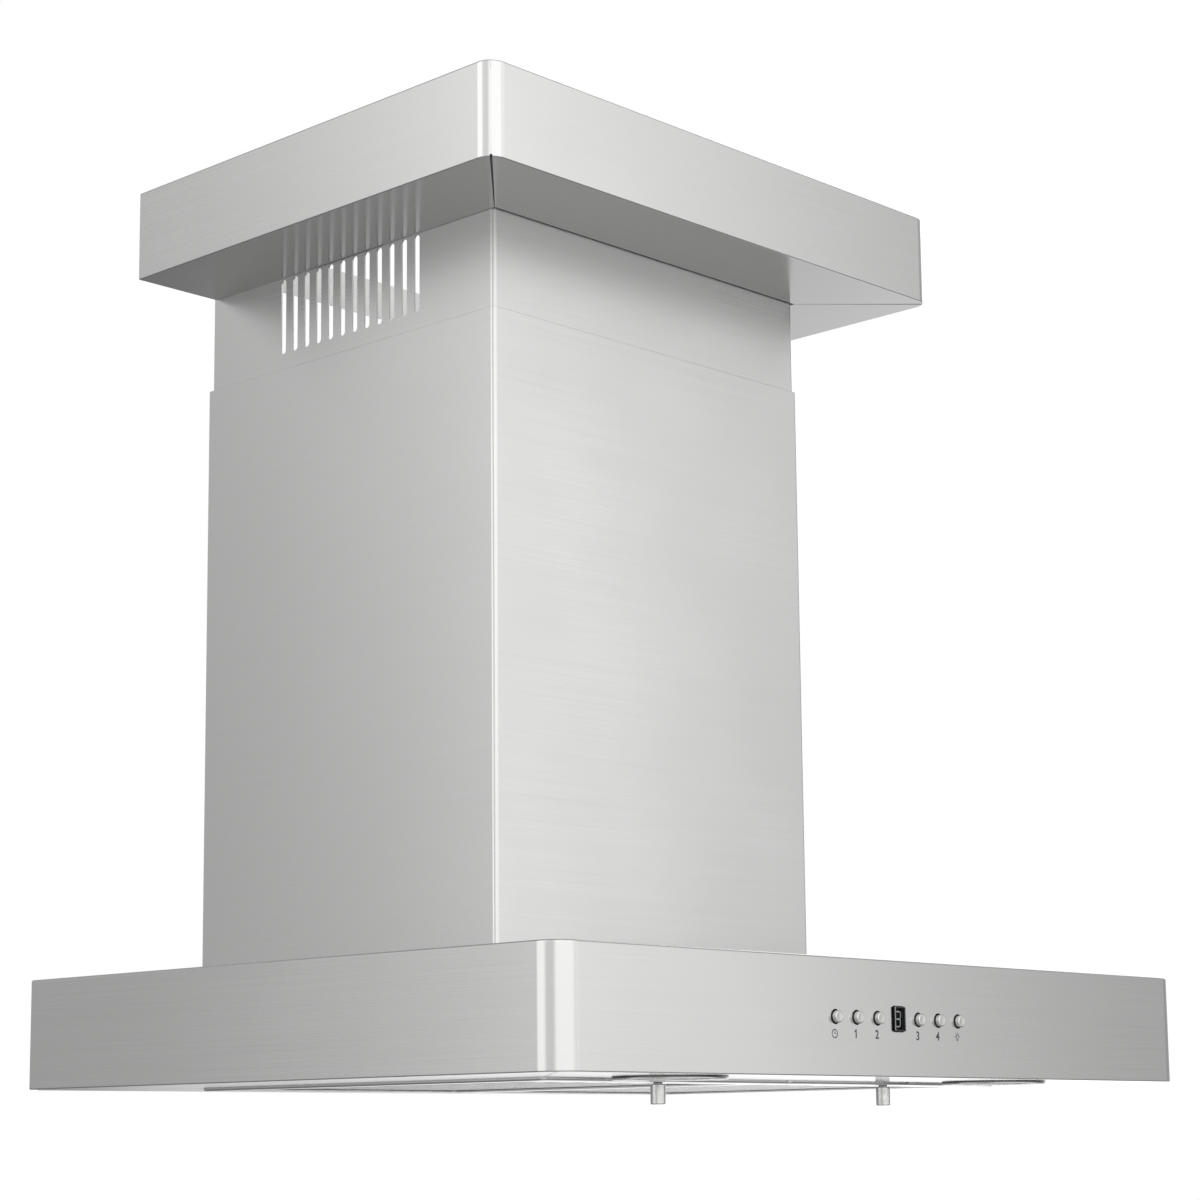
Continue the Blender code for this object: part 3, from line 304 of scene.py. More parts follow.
NODE_FINISH = {
    "brushed_steel": STEEL_LEVEL, "polished_steel": POLISHED, "galvanised_steel": ZINC,
    "satin_aluminium": SATIN, "cast_aluminium": CAST, "frosted_lens": LENS, "smoked_window": WINDOW,
    "black_plastic": BLACK_AND_SHADE, "circuit_board": BOARD, "motor_steel": MOTOR,
}


def dress_nodes():
    """Gives every CAD node the finish of its material slot."""
    for entry in frame["record"]["subparts"]:
        mesh = frame["nodes"][entry["node"]].data
        mesh.materials.clear()
        mesh.materials.append(NODE_FINISH[entry["material_slot"]])


# Outlines, as lists of points
def polar(centre, radius, angle):
    """The point of a circle at an angle in degrees."""
    turn = math.radians(angle)
    return centre[0] + radius * math.cos(turn), centre[1] + radius * math.sin(turn)


def arc(centre, radius, start, end, steps):
    """Points of an arc, with its two angles in degrees."""
    return [polar(centre, radius, start + (end - start) * i / steps) for i in range(steps + 1)]


def rectangle(x0, y0, x1, y1):
    return [(x0, y0), (x1, y0), (x1, y1), (x0, y1)]


def round_rectangle(x0, y0, x1, y1, r, steps=6):
    return [
        *arc((x0 + r, y0 + r), r, 180, 270, steps), *arc((x1 - r, y0 + r), r, 270, 360, steps),
        *arc((x1 - r, y1 - r), r, 0, 90, steps), *arc((x0 + r, y1 - r), r, 90, 180, steps),
    ]


def against_wall(low, high, radius, inset=0.0, back=0.0):
    """A rectangle that stands against the wall, with its two front corners rounded."""
    x0, x1, y0, r = low.x + inset, high.x - inset, low.y + inset, radius - inset
    return [
        (x0, back), *arc((x0 + r, y0 + r), r, 180, 270, CORNER_STEPS),
        *arc((x1 - r, y0 + r), r, 270, 360, CORNER_STEPS), (x1, back),
    ]


def fold(inset, level, turn=1, radius=FOLD):
    """(inset, level) steps round a bend from a wall at inset to a sheet at level; turn -1 is at the foot."""
    path = arc((inset + radius, level - turn * radius), radius, 180, 180 - turn * 90, FOLD_STEPS)
    return path if turn > 0 else path[::-1]


def mitre_regions(inner, outer):
    """Plan regions left, in front and right of two mitre seams; the right one runs from inner to outer."""
    gap = MITRE_GAP
    reach = (outer - inner).normalized() * 5 * PAST
    (ax, ay), (bx, by) = inner - reach, outer + reach
    side, back, ahead = bx + OUTSIDE, 5 * PAST, by - OUTSIDE / 2
    right = [(ax + gap, ay), (bx + gap, by), (side, by), (side, back), (ax + gap, back)]
    front = [(-ax, ay - gap), (-bx, by - gap), (-bx, ahead), (bx, ahead), (bx, by - gap), (ax, ay - gap)]
    return {"left": [(-x, y) for x, y in right], "front": front, "right": right}


# Solids: helpers that a finished piece is cut from
def helper(mesh):
    made = bpy.data.objects.new("helper", mesh)
    bpy.context.scene.collection.objects.link(made)
    return made


def loft(rings):
    """A closed solid through rings of points, each with as many points as the next."""
    shape = bmesh.new()
    loops = [[shape.verts.new(p) for p in ring] for ring in rings]
    for low, high in zip(loops, loops[1:]):
        for i in range(len(low)):
            shape.faces.new((low[i - 1], low[i], high[i], high[i - 1]))
    shape.faces.new(loops[0])
    shape.faces.new(loops[-1])
    bmesh.ops.recalc_face_normals(shape, faces=shape.faces)
    mesh = bpy.data.meshes.new("loft")
    shape.to_mesh(mesh)
    shape.free()
    return mesh


def joined(meshes):
    """One mesh that holds several closed ones."""
    shape = bmesh.new()
    for mesh in meshes:
        shape.from_mesh(mesh)
    made = bpy.data.meshes.new("joined")
    shape.to_mesh(made)
    shape.free()
    return made


def lift(outline, level, axis="Z"):
    """Puts a flat outline at a level: XY for axis Z, YZ for axis X, XZ for axis Y."""
    if axis == "Z":
        return [(u, v, level) for u, v in outline]
    if axis == "X":
        return [(level, u, v) for u, v in outline]
    return [(u, level, v) for u, v in outline]


def prism(outline, low, high, axis="Z"):
    return helper(loft([lift(outline, low, axis), lift(outline, high, axis)]))


def block(low, high):
    return prism(rectangle(low[0], low[1], high[0], high[1]), low[2], high[2])


def stack(outline_at, levels):
    """A solid through (inset, level) steps of one outline."""
    return helper(loft([lift(outline_at(inset), level) for inset, level in levels]))


def disc(radius, centre, length, axis="Z", steps=32):
    """A round bar centred on a point."""
    u, v, w = {"Z": (0, 1, 2), "X": (1, 2, 0), "Y": (0, 2, 1)}[axis]
    outline = arc((centre[u], centre[v]), radius, 0, 360 - 360 / steps, steps - 1)
    return prism(outline, centre[w] - length / 2, centre[w] + length / 2, axis)


def turned(profile, centre, axis="Z", closed=False, steps=64):
    """A mesh turned from (radius, height) points round an axis through centre."""
    shape = bmesh.new()
    points = [shape.verts.new((radius, 0, height)) for radius, height in profile]
    edges = [shape.edges.new(pair) for pair in zip(points, points[1:])]
    if closed:
        edges.append(shape.edges.new((points[-1], points[0])))
    bmesh.ops.spin(
        shape, geom=points + edges, axis=(0, 0, 1), cent=(0, 0, 0), angle=math.tau, steps=steps,
        use_merge=True,
    )
    bmesh.ops.remove_doubles(shape, verts=shape.verts, dist=WELD)
    bmesh.ops.recalc_face_normals(shape, faces=shape.faces)
    mesh = bpy.data.meshes.new("turned")
    shape.to_mesh(mesh)
    shape.free()
    turn = Matrix.Rotation(-math.pi / 2, 4, "X") if axis == "Y" else Matrix.Identity(4)
    mesh.transform(Matrix.Translation(centre) @ turn)
    return mesh


def merge_flat(mesh, distance):
    """Joins points closer than distance, then neighbouring faces that lie in one plane."""
    shape = bmesh.new()
    shape.from_mesh(mesh)
    bmesh.ops.remove_doubles(shape, verts=shape.verts, dist=distance)
    bmesh.ops.dissolve_limit(shape, angle_limit=FLAT_ANGLE, verts=shape.verts, edges=shape.edges)
    shape.to_mesh(mesh)
    shape.free()


def carve(base, operation, tools):
    for tool in tools:
        step = base.modifiers.new(operation, "BOOLEAN")
        step.operation = operation
        step.solver = "EXACT"
        step.object = tool
    return base


def settled(base):
    """The mesh that a carved helper comes to; every helper is then removed."""
    bpy.context.view_layer.update()
    mesh = bpy.data.meshes.new_from_object(base.evaluated_get(bpy.context.evaluated_depsgraph_get()))
    for thing in [o for o in bpy.context.scene.objects if o.name.startswith("helper")]:
        bpy.data.objects.remove(thing, do_unlink=True)
    merge_flat(mesh, WELD)
    return mesh


# Pieces
def piece(name, mesh, finish, body, replaces=(), edge=EDGE):
    """A finished mesh on its body, with softened edges and even shading."""
    mesh.materials.clear()
    mesh.materials.append(finish)
    mesh.shade_smooth()
    mesh.set_sharp_from_angle(angle=SHARP_ANGLE)
    made = bpy.data.objects.new(name, mesh)
    bpy.context.scene.collection.objects.link(made)
    if edge:
        soft = made.modifiers.new("Edge", "BEVEL")
        soft.width = edge
        soft.segments = 2
        soft.limit_method = "ANGLE"
        soft.angle_limit = SHARP_ANGLE
        soft.harden_normals = False
    even = made.modifiers.new("Shade", "WEIGHTED_NORMAL")
    even.keep_sharp = False
    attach(made, body)
    if replaces:
        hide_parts(*replaces)
    return made


def flat_brush_and_shade(made):
    """Gives level faces the finish whose brushing lies flat and whose darker base is painted shade."""
    made.data.materials.append(STEEL_FLAT_SHADED)
    for face in made.data.polygons:
        if abs(face.normal.z) > LEVEL_NORMAL:
            face.material_index = 1


def centre_of(name):
    low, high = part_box(name)
    return (low + high) / 2


BUTTONS = ("button_power", *(f"button_speed_{i}" for i in range(1, 5)), "button_light")


def duct_opening():
    """The canopy top's opening under the blower housing, clear of the housing's inner faces."""
    low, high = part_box("blower_housing")
    front, back = low.y + DUCT_FRONT, high.y - DUCT_BACK
    return (low.x + DUCT_CLEAR, front + DUCT_CLEAR), (high.x - DUCT_CLEAR, back - DUCT_CLEAR)


def hollow_tray(low, high, corner, rear, floor_level):
    """Outside of a folded tray against the wall, and the solid that hollows it from floor_level up."""
    def outer(inset):
        return against_wall(low, high, corner, inset, back=rear)

    def inner(inset):
        return against_wall(low, high, corner, inset, back=rear + 2 * PAST)

    outside = stack(outer, [*fold(0.0, low.z, -1, radius=FOOT_FOLD), *fold(0.0, high.z)])
    bend = fold(SHEET, high.z - SHEET, radius=FOLD - SHEET / 2)
    return outside, stack(inner, [(SHEET, floor_level), *bend])


def canopy_shell():
    """Folded canopy with its openings and its stepped rear corners."""
    low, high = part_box("canopy_shell")
    outside, inside = hollow_tray(low, high, CANOPY_CORNER, 0.0, low.z - PAST)
    (duct_x0, duct_y0), (duct_x1, duct_y1) = duct_opening()
    tools = [inside, block((duct_x0, duct_y0, high.z - PAST), (duct_x1, duct_y1, high.z + PAST))]
    for button in BUTTONS:
        place = centre_of(button)
        tools.append(disc(BUTTON_HOLE_R, (place.x, low.y, place.z), PAST, "Y"))
    screen_low, screen_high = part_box("display_module")
    gap = WINDOW_GAP
    window = round_rectangle(
        screen_low.x - gap, screen_low.z - gap, screen_high.x + gap, screen_high.z + gap, WINDOW_HOLE_CORNER
    )
    tools.append(prism(window, low.y - PAST / 2, low.y + PAST / 2, "Y"))
    gland = centre_of("cable_gland")
    tools.append(disc(GLAND_HOLE_R, (gland.x, gland.y, high.z), PAST))
    for x0, x1 in ((low.x - PAST, -REBATE_X), (REBATE_X, high.x + PAST)):
        tools.append(block((x0, REBATE_Y, low.z - PAST), (x1, high.y + PAST, high.z + PAST)))
    mesh = settled(carve(outside, "DIFFERENCE", tools))
    flat_brush_and_shade(
        piece("canopy_cover", mesh, STEEL_LEVEL, "hood", ["canopy_shell"], edge=FINE_EDGE)
    )


def band(start, end, half_start, half_end, mirror):
    """A straight band in plan, with its half width at each end; mirror -1 puts it on the left."""
    across = (end - start).normalized().orthogonal()
    near, far = across * half_start, across * half_end
    return [(mirror * p.x, p.y) for p in (start - near, end - far, end + far, start + near)]


def shade_inside(moulding, low, high, middle_y):
    """Gives the faces inside a crown moulding a dark grey painted shade."""
    moulding.data.materials.append(INSIDE_SHADE)
    inset = INSIDE_SHADE_INSET
    for face in moulding.data.polygons:
        at = face.center
        behind_front = at.y > low.y + inset and abs(at.x) < high.x - inset
        inward = face.normal.xy.dot(Vector((at.x, at.y - middle_y))) < 0
        if behind_front and low.z + inset < at.z < high.z - inset:
            if abs(face.normal.z) > LEVEL_NORMAL or inward:
                face.material_index = 2


def crown():
    """Three mitred lengths of moulding round the top of the chimney."""
    low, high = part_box("crown_left")[0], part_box("crown_right")[1]
    low.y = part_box("crown_front")[0].y
    chimney_low, chimney_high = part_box("inner_chimney")
    inner = Vector((chimney_high.x + CROWN_SIDE_GAP, chimney_low.y - CROWN_FRONT_GAP))
    outer = Vector((high.x, low.y))
    hole = rectangle(-inner.x, inner.y, inner.x, 5 * PAST)
    mouth = rectangle(low.x + CROWN_HEM, low.y + CROWN_HEM, high.x - CROWN_HEM, 5 * PAST)
    for side, region in mitre_regions(inner, outer).items():
        outside, inside = hollow_tray(low, high, CROWN_CORNER, high.y, low.z + SHEET)
        carve(outside, "INTERSECT", [prism(region, low.z - PAST, high.z + PAST)])
        tools = [
            prism(hole, low.z - PAST, low.z + 2 * PAST), inside, prism(mouth, high.z - PAST, high.z + PAST)
        ]
        for mirror in (-1, 1):
            seam = band(inner, outer, SEAM_INNER, SEAM_OUTER, mirror)
            tools.append(prism(seam, low.z - PAST, low.z + SEAM_DEPTH))
        mesh = settled(carve(outside, "DIFFERENCE", tools))
        made = piece(
            f"crown_moulding_{side}", mesh, STEEL_LEVEL, "upper_chimney", [f"crown_{side}"],
            edge=THIN_EDGE,
        )
        flat_brush_and_shade(made)
        # The moulding's inside faces get a dark grey painted shade
        shade_inside(made, low, high, (low.y + chimney_high.y) / 2)
    seam_painted_shade(inner, outer, low.z + SHEET)
    crown_gap_shade(chimney_low, chimney_high, inner, low.z)


def seam_painted_shade(inner, outer, level):
    """Dark strips of painted shade that stand on the underside sheet behind the two seams."""
    start, end = inner.lerp(outer, SEAM_SHADE_START), inner.lerp(outer, SEAM_SHADE_END)
    strips = []
    for mirror in (-1, 1):
        outline = band(start, end, SEAM_SHADE_HALF, SEAM_SHADE_HALF, mirror)
        strips.append(settled(prism(outline, level + SEAM_SHADE_GAP, level + SEAM_SHADE_H)))
    # Black strips as painted shade, so the seams show dark
    piece("crown_seam_painted_shade", joined(strips), BLACK_AND_SHADE, "upper_chimney", edge=THIN_EDGE)


def crown_gap_shade(chimney_low, chimney_high, inner, level):
    """Dark strip of painted shade in the gap in front of the chimney, with a short return round each chimney
    corner.
    """
    reach, bend = inner.x - 0.0001, chimney_low.y + GAP_SHADE_RETURN
    right = [
        (reach, inner.y), (reach, bend), (chimney_high.x + 0.0004, bend),
        (chimney_high.x - 0.0018, inner.y + GAP_SHADE_DEPTH),
    ]
    outline = [*[(-x, y) for x, y in right], *right[::-1]]
    gap_shade = settled(prism(outline, level + GAP_SHADE_FOOT, level + GAP_SHADE_TOP))
    # A black strip as painted shade in the gap in front of the chimney
    piece("crown_gap_shade", gap_shade, BLACK_AND_SHADE, "upper_chimney", edge=THIN_EDGE)


def cover_outline(low, high, hem):
    """Plan section of a three-sided sheet cover, open at the wall; hem is the lip at each back edge."""
    def path(inset):
        x0, x1, y0, r = low.x + inset, high.x - inset, low.y + inset, CHIMNEY_CORNER - inset
        rear = high.y - inset if inset and hem else high.y
        bends = [
            *arc((x0 + r, y0 + r), r, 180, 270, CHIMNEY_STEPS),
            *arc((x1 - r, y0 + r), r, 270, 360, CHIMNEY_STEPS),
        ]
        left = [(low.x + hem, rear)] if hem else []
        right = [(high.x - hem, rear)] if hem else []
        return [*left, (x0, rear), *bends, (x1, rear), *right]

    return [*path(0.0), *reversed(path(SHEET))]


def slot_outline(y, bottom, top):
    """An upright slot with round ends."""
    r = VENT_W / 2
    return [*arc((y, top - r), r, 0, 180, 10), *arc((y, bottom + r), r, 180, 360, 10)]


def chimney():
    """The wider lower cover, and the slotted upper cover that slides inside it."""
    low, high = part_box("outer_chimney")
    outer = settled(prism(cover_outline(low, high, CHIMNEY_HEM), low.z, high.z))
    piece(
        "chimney_cover_lower", outer, STEEL_CHIMNEY, "hood", ["outer_chimney"],
        edge=COVER_EDGE,
    )
    low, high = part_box("inner_chimney")
    inner = prism(cover_outline(low, high, 0.0), low.z, high.z)
    vents = [
        prism(slot_outline(VENT_FIRST_Y + i * VENT_PITCH, VENT_BOTTOM, VENT_TOP), -OUTSIDE, OUTSIDE, "X")
        for i in range(VENT_COUNT)
    ]
    screw = centre_of("chimney_screw_left")
    vents.append(disc(SCREW_HOLE_R, (0, screw.y, screw.z), 2 * OUTSIDE, "X", 16))
    mesh = settled(carve(inner, "DIFFERENCE", vents))
    piece("chimney_cover_upper", mesh, STEEL_CHIMNEY, "upper_chimney", ["inner_chimney"])


# Filters
def filter_tray(side):
    """Folded frame with a rounded rim, a window for the slats, a slot for the knob and two rear hooks."""
    low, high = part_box(f"filter_frame_{side}")
    back, top = high.y - HOOK_REACH, low.z + FILTER_H

    def outline(inset):
        corner = TRAY_CORNER - inset
        return round_rectangle(low.x + inset, low.y + inset, high.x - inset, back - inset, corner)

    outside = stack(outline, [*fold(0.0, low.z, -1), (0.0, top)])
    bend = fold(SHEET, low.z + SHEET, -1, radius=FOLD - SHEET / 2)
    inside = stack(outline, [*bend, (SHEET, top + PAST)])
    window = round_rectangle(
        low.x + SIDE_RAIL, low.y + FRONT_RAIL, high.x - SIDE_RAIL, back - BACK_RAIL, TRAY_WINDOW_CORNER
    )
    knob = centre_of(f"filter_knob_{side}")
    half = KNOB_SLOT_HALF
    knob_slot = round_rectangle(
        knob.x - half, knob.y - half, knob.x + half, knob.y + half + KNOB_SLOT_RUN, KNOB_SLOT_CORNER
    )
    latch_low, latch_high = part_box(f"filter_latch_{side}")
    latch_slot = block(
        (knob.x - LATCH_SLOT_HALF, low.y - PAST, latch_low.z - LATCH_UNDER),
        (knob.x + LATCH_SLOT_HALF, low.y + 1.5 * SHEET, latch_high.z + LATCH_OVER),
    )
    floor_cuts = [prism(cut, low.z - PAST, low.z + PAST / 2) for cut in (window, knob_slot)]
    carve(outside, "DIFFERENCE", [inside, *floor_cuts, latch_slot])
    hooks = []
    for x in (low.x + HOOK_INSET, high.x - HOOK_INSET):
        x0, x1 = x - HOOK_HALF, x + HOOK_HALF
        hooks.append(block((x0, back - SHEET, top - HOOK_TAIL), (x1, back, high.z)))
        hooks.append(block((x0, back - SHEET, high.z - SHEET), (x1, high.y, high.z)))
    mesh = settled(carve(outside, "UNION", hooks))
    made = piece(
        f"filter_tray_{side}", mesh, STEEL_LEVEL, f"filter_{side}",
        [f"filter_frame_{side}"], edge=TRAY_EDGE,
    )
    flat_brush_and_shade(made)


def channel(middle, base, height, width, r=0.0012, wall=0.0008):
    """Section of a slat with rounded bends; it opens upwards when height is positive."""
    half, up = width / 2, 1 if height > 0 else -1
    rise = base + height
    outer = [
        (middle - half, rise), *arc((middle - half + r, base + up * r), r, 180, 180 + up * 90, 5),
        *arc((middle + half - r, base + up * r), r, -up * 90, 0, 5), (middle + half, rise),
    ]
    q = r - wall
    inner = [
        (middle + half - wall, rise), *arc((middle + half - r, base + up * r), q, 0, -up * 90, 5),
        *arc((middle - half + r, base + up * r), q, 180 + up * 90, 180, 5), (middle - half + wall, rise),
    ]
    return outer + inner


def filter_slats(side):
    """Two staggered rows of channel slats between two end strips."""
    low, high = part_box(f"filter_baffles_{side}")
    pitch = (high.x - low.x - 2 * SHEET) / LOWER_SLATS
    meshes = []
    for i in range(LOWER_SLATS):
        middle = low.x + SHEET + pitch * (i + 0.5)
        rows = [(middle, low.z, SLAT_H)]
        if i:
            rows.append((middle - pitch / 2, high.z, -SLAT_H))
        for x, base, height in rows:
            section = channel(x, base, height, SLAT_W)
            meshes.append(loft([lift(section, y, "Y") for y in (low.y + SHEET / 2, high.y - SHEET / 2)]))
    section = rectangle(low.x, low.z, high.x, high.z)
    for y in (low.y, high.y - SHEET):
        meshes.append(loft([lift(section, level, "Y") for level in (y, y + SHEET)]))
    # The slats get the darker level-face steel: flat brushing with painted shade
    piece(
        f"filter_slats_{side}", joined(meshes), STEEL_FLAT_SHADED, f"filter_{side}",
        [f"filter_baffles_{side}"], edge=0,
    )


def filter_knob(side):
    """Turned knob on a thinner neck."""
    low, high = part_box(f"filter_knob_{side}")
    centre = centre_of(f"filter_knob_{side}")
    r, neck = (high.x - low.x) / 2, 0.0027
    shoulder = high.z - 0.002
    profile = [
        (0.0, high.z), (neck, high.z), (neck, shoulder + 0.0002), (neck + 0.0002, shoulder),
        *arc((r - 0.0005, shoulder - 0.0005), 0.0005, 90, 0, 4),
        *arc((r - 0.0008, low.z + 0.0008), 0.0008, 0, -90, 5), (0.0, low.z),
    ]
    mesh = turned(profile, (centre.x, centre.y, 0))
    piece(
        f"filter_pull_{side}", mesh, POLISHED, f"latch_{side}", [f"filter_knob_{side}"],
        edge=0,
    )


# Lamps
def lamp(side):
    """Bezel with a lip under its lens, and a lens ridged in rings."""
    low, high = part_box(f"lamp_ring_{side}")
    centre = centre_of(f"lamp_ring_{side}")
    r, seat = (high.x - low.x) / 2, low.z + LAMP_SEAT
    inner = r - BEZEL_W
    profile = [
        (r, seat), (r - 0.0001, low.z + 0.0006), *arc((r - 0.0006, low.z + 0.0005), 0.0005, 0, -90, 4),
        (r - 0.0035, low.z + 0.0001), (inner + 0.0012, low.z + 0.0006),
        *arc((inner + 0.0006, low.z + 0.0012), 0.0006, 270, 180, 4), (inner, low.z + 0.0019),
        (inner + 0.0018, low.z + 0.0019), (inner + 0.0018, high.z), (inner + 0.0028, high.z),
        (inner + 0.0028, seat),
    ]
    mesh = turned(profile, (centre.x, centre.y, 0), closed=True, steps=96)
    piece(f"lamp_bezel_{side}", mesh, POLISHED, "hood", [f"lamp_ring_{side}"], edge=0)
    low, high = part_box(f"lamp_lens_{side}")
    r = (high.x - low.x) / 2
    ridges = []
    for i in range(LENS_RIDGES):
        reach = r * (1 - i / LENS_RIDGES)
        ridges += [(reach - 0.0001, low.z), (reach - r / (2 * LENS_RIDGES), low.z + LENS_RELIEF)]
    profile = [(0.0, high.z), (r, high.z), (r, low.z), *ridges[1:], (0.0, low.z + 0.0001)]
    mesh = turned(profile, (centre.x, centre.y, 0), steps=96)
    piece(f"lamp_glass_{side}", mesh, LENS, "hood", [f"lamp_lens_{side}"], edge=0)


# Controls
def button(name):
    """Satin cap on a black foot with a flange behind the fascia."""
    low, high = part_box(name)
    centre = centre_of(name)
    face, r, flange = low.y, BUTTON_R, BUTTON_FLANGE_R
    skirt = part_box("canopy_shell")[0].y - BUTTON_SKIRT
    profile = [
        (0.0, face + 0.00015), (r - 0.0014, face + 0.0001),
        *arc((r - 0.0008, face + 0.0008), 0.0008, -90, 0, 6), (r, skirt),
        (r, face + 0.0048), (flange, face + 0.0048), (flange, face + 0.0060),
        (r - 0.0004, face + 0.0060), (r - 0.0004, high.y), (0.0, high.y),
    ]
    mesh = turned(profile[::-1], (centre.x, 0, centre.z), "Y", steps=48)
    made = piece(f"{name}_cap", mesh, SATIN, name, [name], edge=0)
    made.data.materials.append(BLACK_AND_SHADE)
    for part in made.data.polygons:
        if part.center.y > skirt:
            part.material_index = 1


def mark(name, mesh, finish):
    piece(name, mesh, finish, "hood", edge=0)


def display():
    """Dark window with a thin bright edge, and a seven-segment digit set back inside it."""
    low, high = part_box("display_module")

    def outline(inset):
        corner = max(SCREEN_CORNER - inset, 0.0002)
        return round_rectangle(low.x + inset, low.z + inset, high.x - inset, high.z - inset, corner)

    steps = [
        (0.0, high.y), (0.0, low.y + 0.0004), (0.00015, low.y + 0.0001), (0.0004, low.y), (0.0009, low.y),
        (0.0010, low.y + 0.0001), (0.0011, low.y + DIGIT_SET_BACK),
    ]
    rings = [lift(outline(inset), level, "Y") for inset, level in steps]
    made = piece("display_window", loft(rings), WINDOW, "hood", ["display_module"], edge=0)
    made.data.materials.append(WINDOW_EDGE)
    for part in made.data.polygons:
        slanted = 0.2 < -part.normal.y < 0.93
        if slanted:
            part.material_index = 1
    middle = centre_of("display_module")
    segments = seven_segments(middle.x + DIGIT_SHIFT, middle.z, low.y + DIGIT_SET_BACK)
    mark("display_digit", segments, DIGIT)


def seven_segments(x, z, y):
    """A leaning figure eight of seven bars, centred on x and z, on the face at y."""
    def bar(ax, az, bx, bz):
        way = Vector((bx - ax, bz - az)).normalized()
        tip, side = way * DIGIT_LINE / 2, Vector((-way.y, way.x)) * DIGIT_LINE / 2
        start, end = Vector((ax, az)) + way * DIGIT_GAP, Vector((bx, bz)) - way * DIGIT_GAP
        points = [start, start + tip + side, end - tip + side, end, end - tip - side, start + tip - side]
        sheared = [(p.x + (p.y - z) * DIGIT_LEAN, p.y) for p in points]
        return loft([lift(sheared, level, "Y") for level in (y - INK, y + INK)])

    x0, x1, z0, z1 = x - DIGIT_W / 2, x + DIGIT_W / 2, z - DIGIT_H / 2, z + DIGIT_H / 2
    level_bars = [(x0, at, x1, at) for at in (z1, z, z0)]
    upright_bars = [(at, start, at, end) for at in (x0, x1) for start, end in ((z1, z), (z, z0))]
    return joined([bar(*ends) for ends in level_bars + upright_bars])


def lettering(text):
    """Bold upright text that faces the room."""
    curve = bpy.data.curves.new("lettering", "FONT")
    curve.body = text
    curve.size = LABEL_SIZE
    curve.align_x, curve.align_y = "CENTER", "CENTER"
    curve.extrude = INK / 2
    curve.resolution_u = 6
    curve.offset = LABEL_BOLD
    made = helper(curve)
    made.rotation_euler = (math.pi / 2, 0, 0)
    return made


def stroke(points, width):
    """A printed line of even width through points in XZ, as flat solids on the fascia."""
    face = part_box("canopy_shell")[0].y
    meshes = []
    for (ax, az), (bx, bz) in zip(points, points[1:]):
        along = Vector((bx - ax, bz - az)).normalized()
        side, tip = Vector((-along.y, along.x)) * width / 2, along * width / 4
        start, end = Vector((ax, az)) - tip, Vector((bx, bz)) + tip
        corners = [start - side, end - side, end + side, start + side]
        meshes.append(loft([lift(corners, y, "Y") for y in (face - INK, face + INK)]))
    return meshes


def ring(centre, outer, inner, start=0, end=360, steps=40):
    """A printed ring or part of one."""
    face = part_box("canopy_shell")[0].y
    shape = bmesh.new()
    outline_out = arc(centre, outer, start, end, steps)
    outline_in = arc(centre, inner, start, end, steps)
    levels = (face - INK, face + INK)
    out_front, out_back, in_front, in_back = [
        [shape.verts.new(point) for point in lift(line, y, "Y")]
        for line in (outline_out, outline_in) for y in levels
    ]
    for a, b in ((out_front, out_back), (out_back, in_back), (in_back, in_front), (in_front, out_front)):
        for i in range(steps):
            shape.faces.new((a[i], a[i + 1], b[i + 1], b[i]))
    if end - start < 360:
        shape.faces.new((out_front[0], out_back[0], in_back[0], in_front[0]))
        shape.faces.new((out_front[-1], in_front[-1], in_back[-1], out_back[-1]))
    bmesh.ops.remove_doubles(shape, verts=shape.verts, dist=1e-7)
    bmesh.ops.recalc_face_normals(shape, faces=shape.faces)
    mesh = bpy.data.meshes.new("ring")
    shape.to_mesh(mesh)
    shape.free()
    return mesh


def label_number(digit, x, z):
    """The outline of a printed number, with a flag added to the 1."""
    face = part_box("canopy_shell")[0].y
    text = lettering(digit)
    text.location = (x, face, z)
    bpy.context.view_layer.update()
    mesh = bpy.data.meshes.new_from_object(text.evaluated_get(bpy.context.evaluated_depsgraph_get()))
    mesh.transform(text.matrix_world)
    bpy.data.objects.remove(text, do_unlink=True)
    if digit == "1":
        return joined([mesh, *stroke([(x - 0.0013, z + 0.0013), (x, z + 0.0024)], 0.0005)])
    return mesh


def label_power(x, z):
    """A clock face."""
    hands = stroke([(x, z + 0.0015), (x, z)], 0.0005) + stroke([(x, z), (x + 0.0011, z)], 0.0005)
    return joined([ring((x, z), 0.0027, 0.00215), *hands])


def label_light(x, z):
    """A lamp with two lines for its cap and five rays."""
    parts = [ring((x, z), 0.0014, 0.0009, -55, 235)]
    for level, half in ((-0.0015, 0.0008), (-0.0022, 0.0006)):
        parts += stroke([(x - half, z + level), (x + half, z + level)], 0.00045)
    for angle in (0, 45, 90, 135, 180):
        parts += stroke([polar((x, z), 0.0020, angle), polar((x, z), 0.0027, angle)], 0.0004)
    return joined(parts)


def labels():
    """Printed numbers and symbols below the buttons."""
    for name in BUTTONS:
        centre = centre_of(name)
        x, z = centre.x + LABEL_SHIFT, centre.z - LABEL_DROP
        if name == "button_power":
            mark("label_power", label_power(x, z), PRINT)
        elif name == "button_light":
            mark("label_light", label_light(x, z + 0.0005), PRINT)
        else:
            mark(f"label_{name[-1]}", label_number(name[-1], x, z), PRINT)


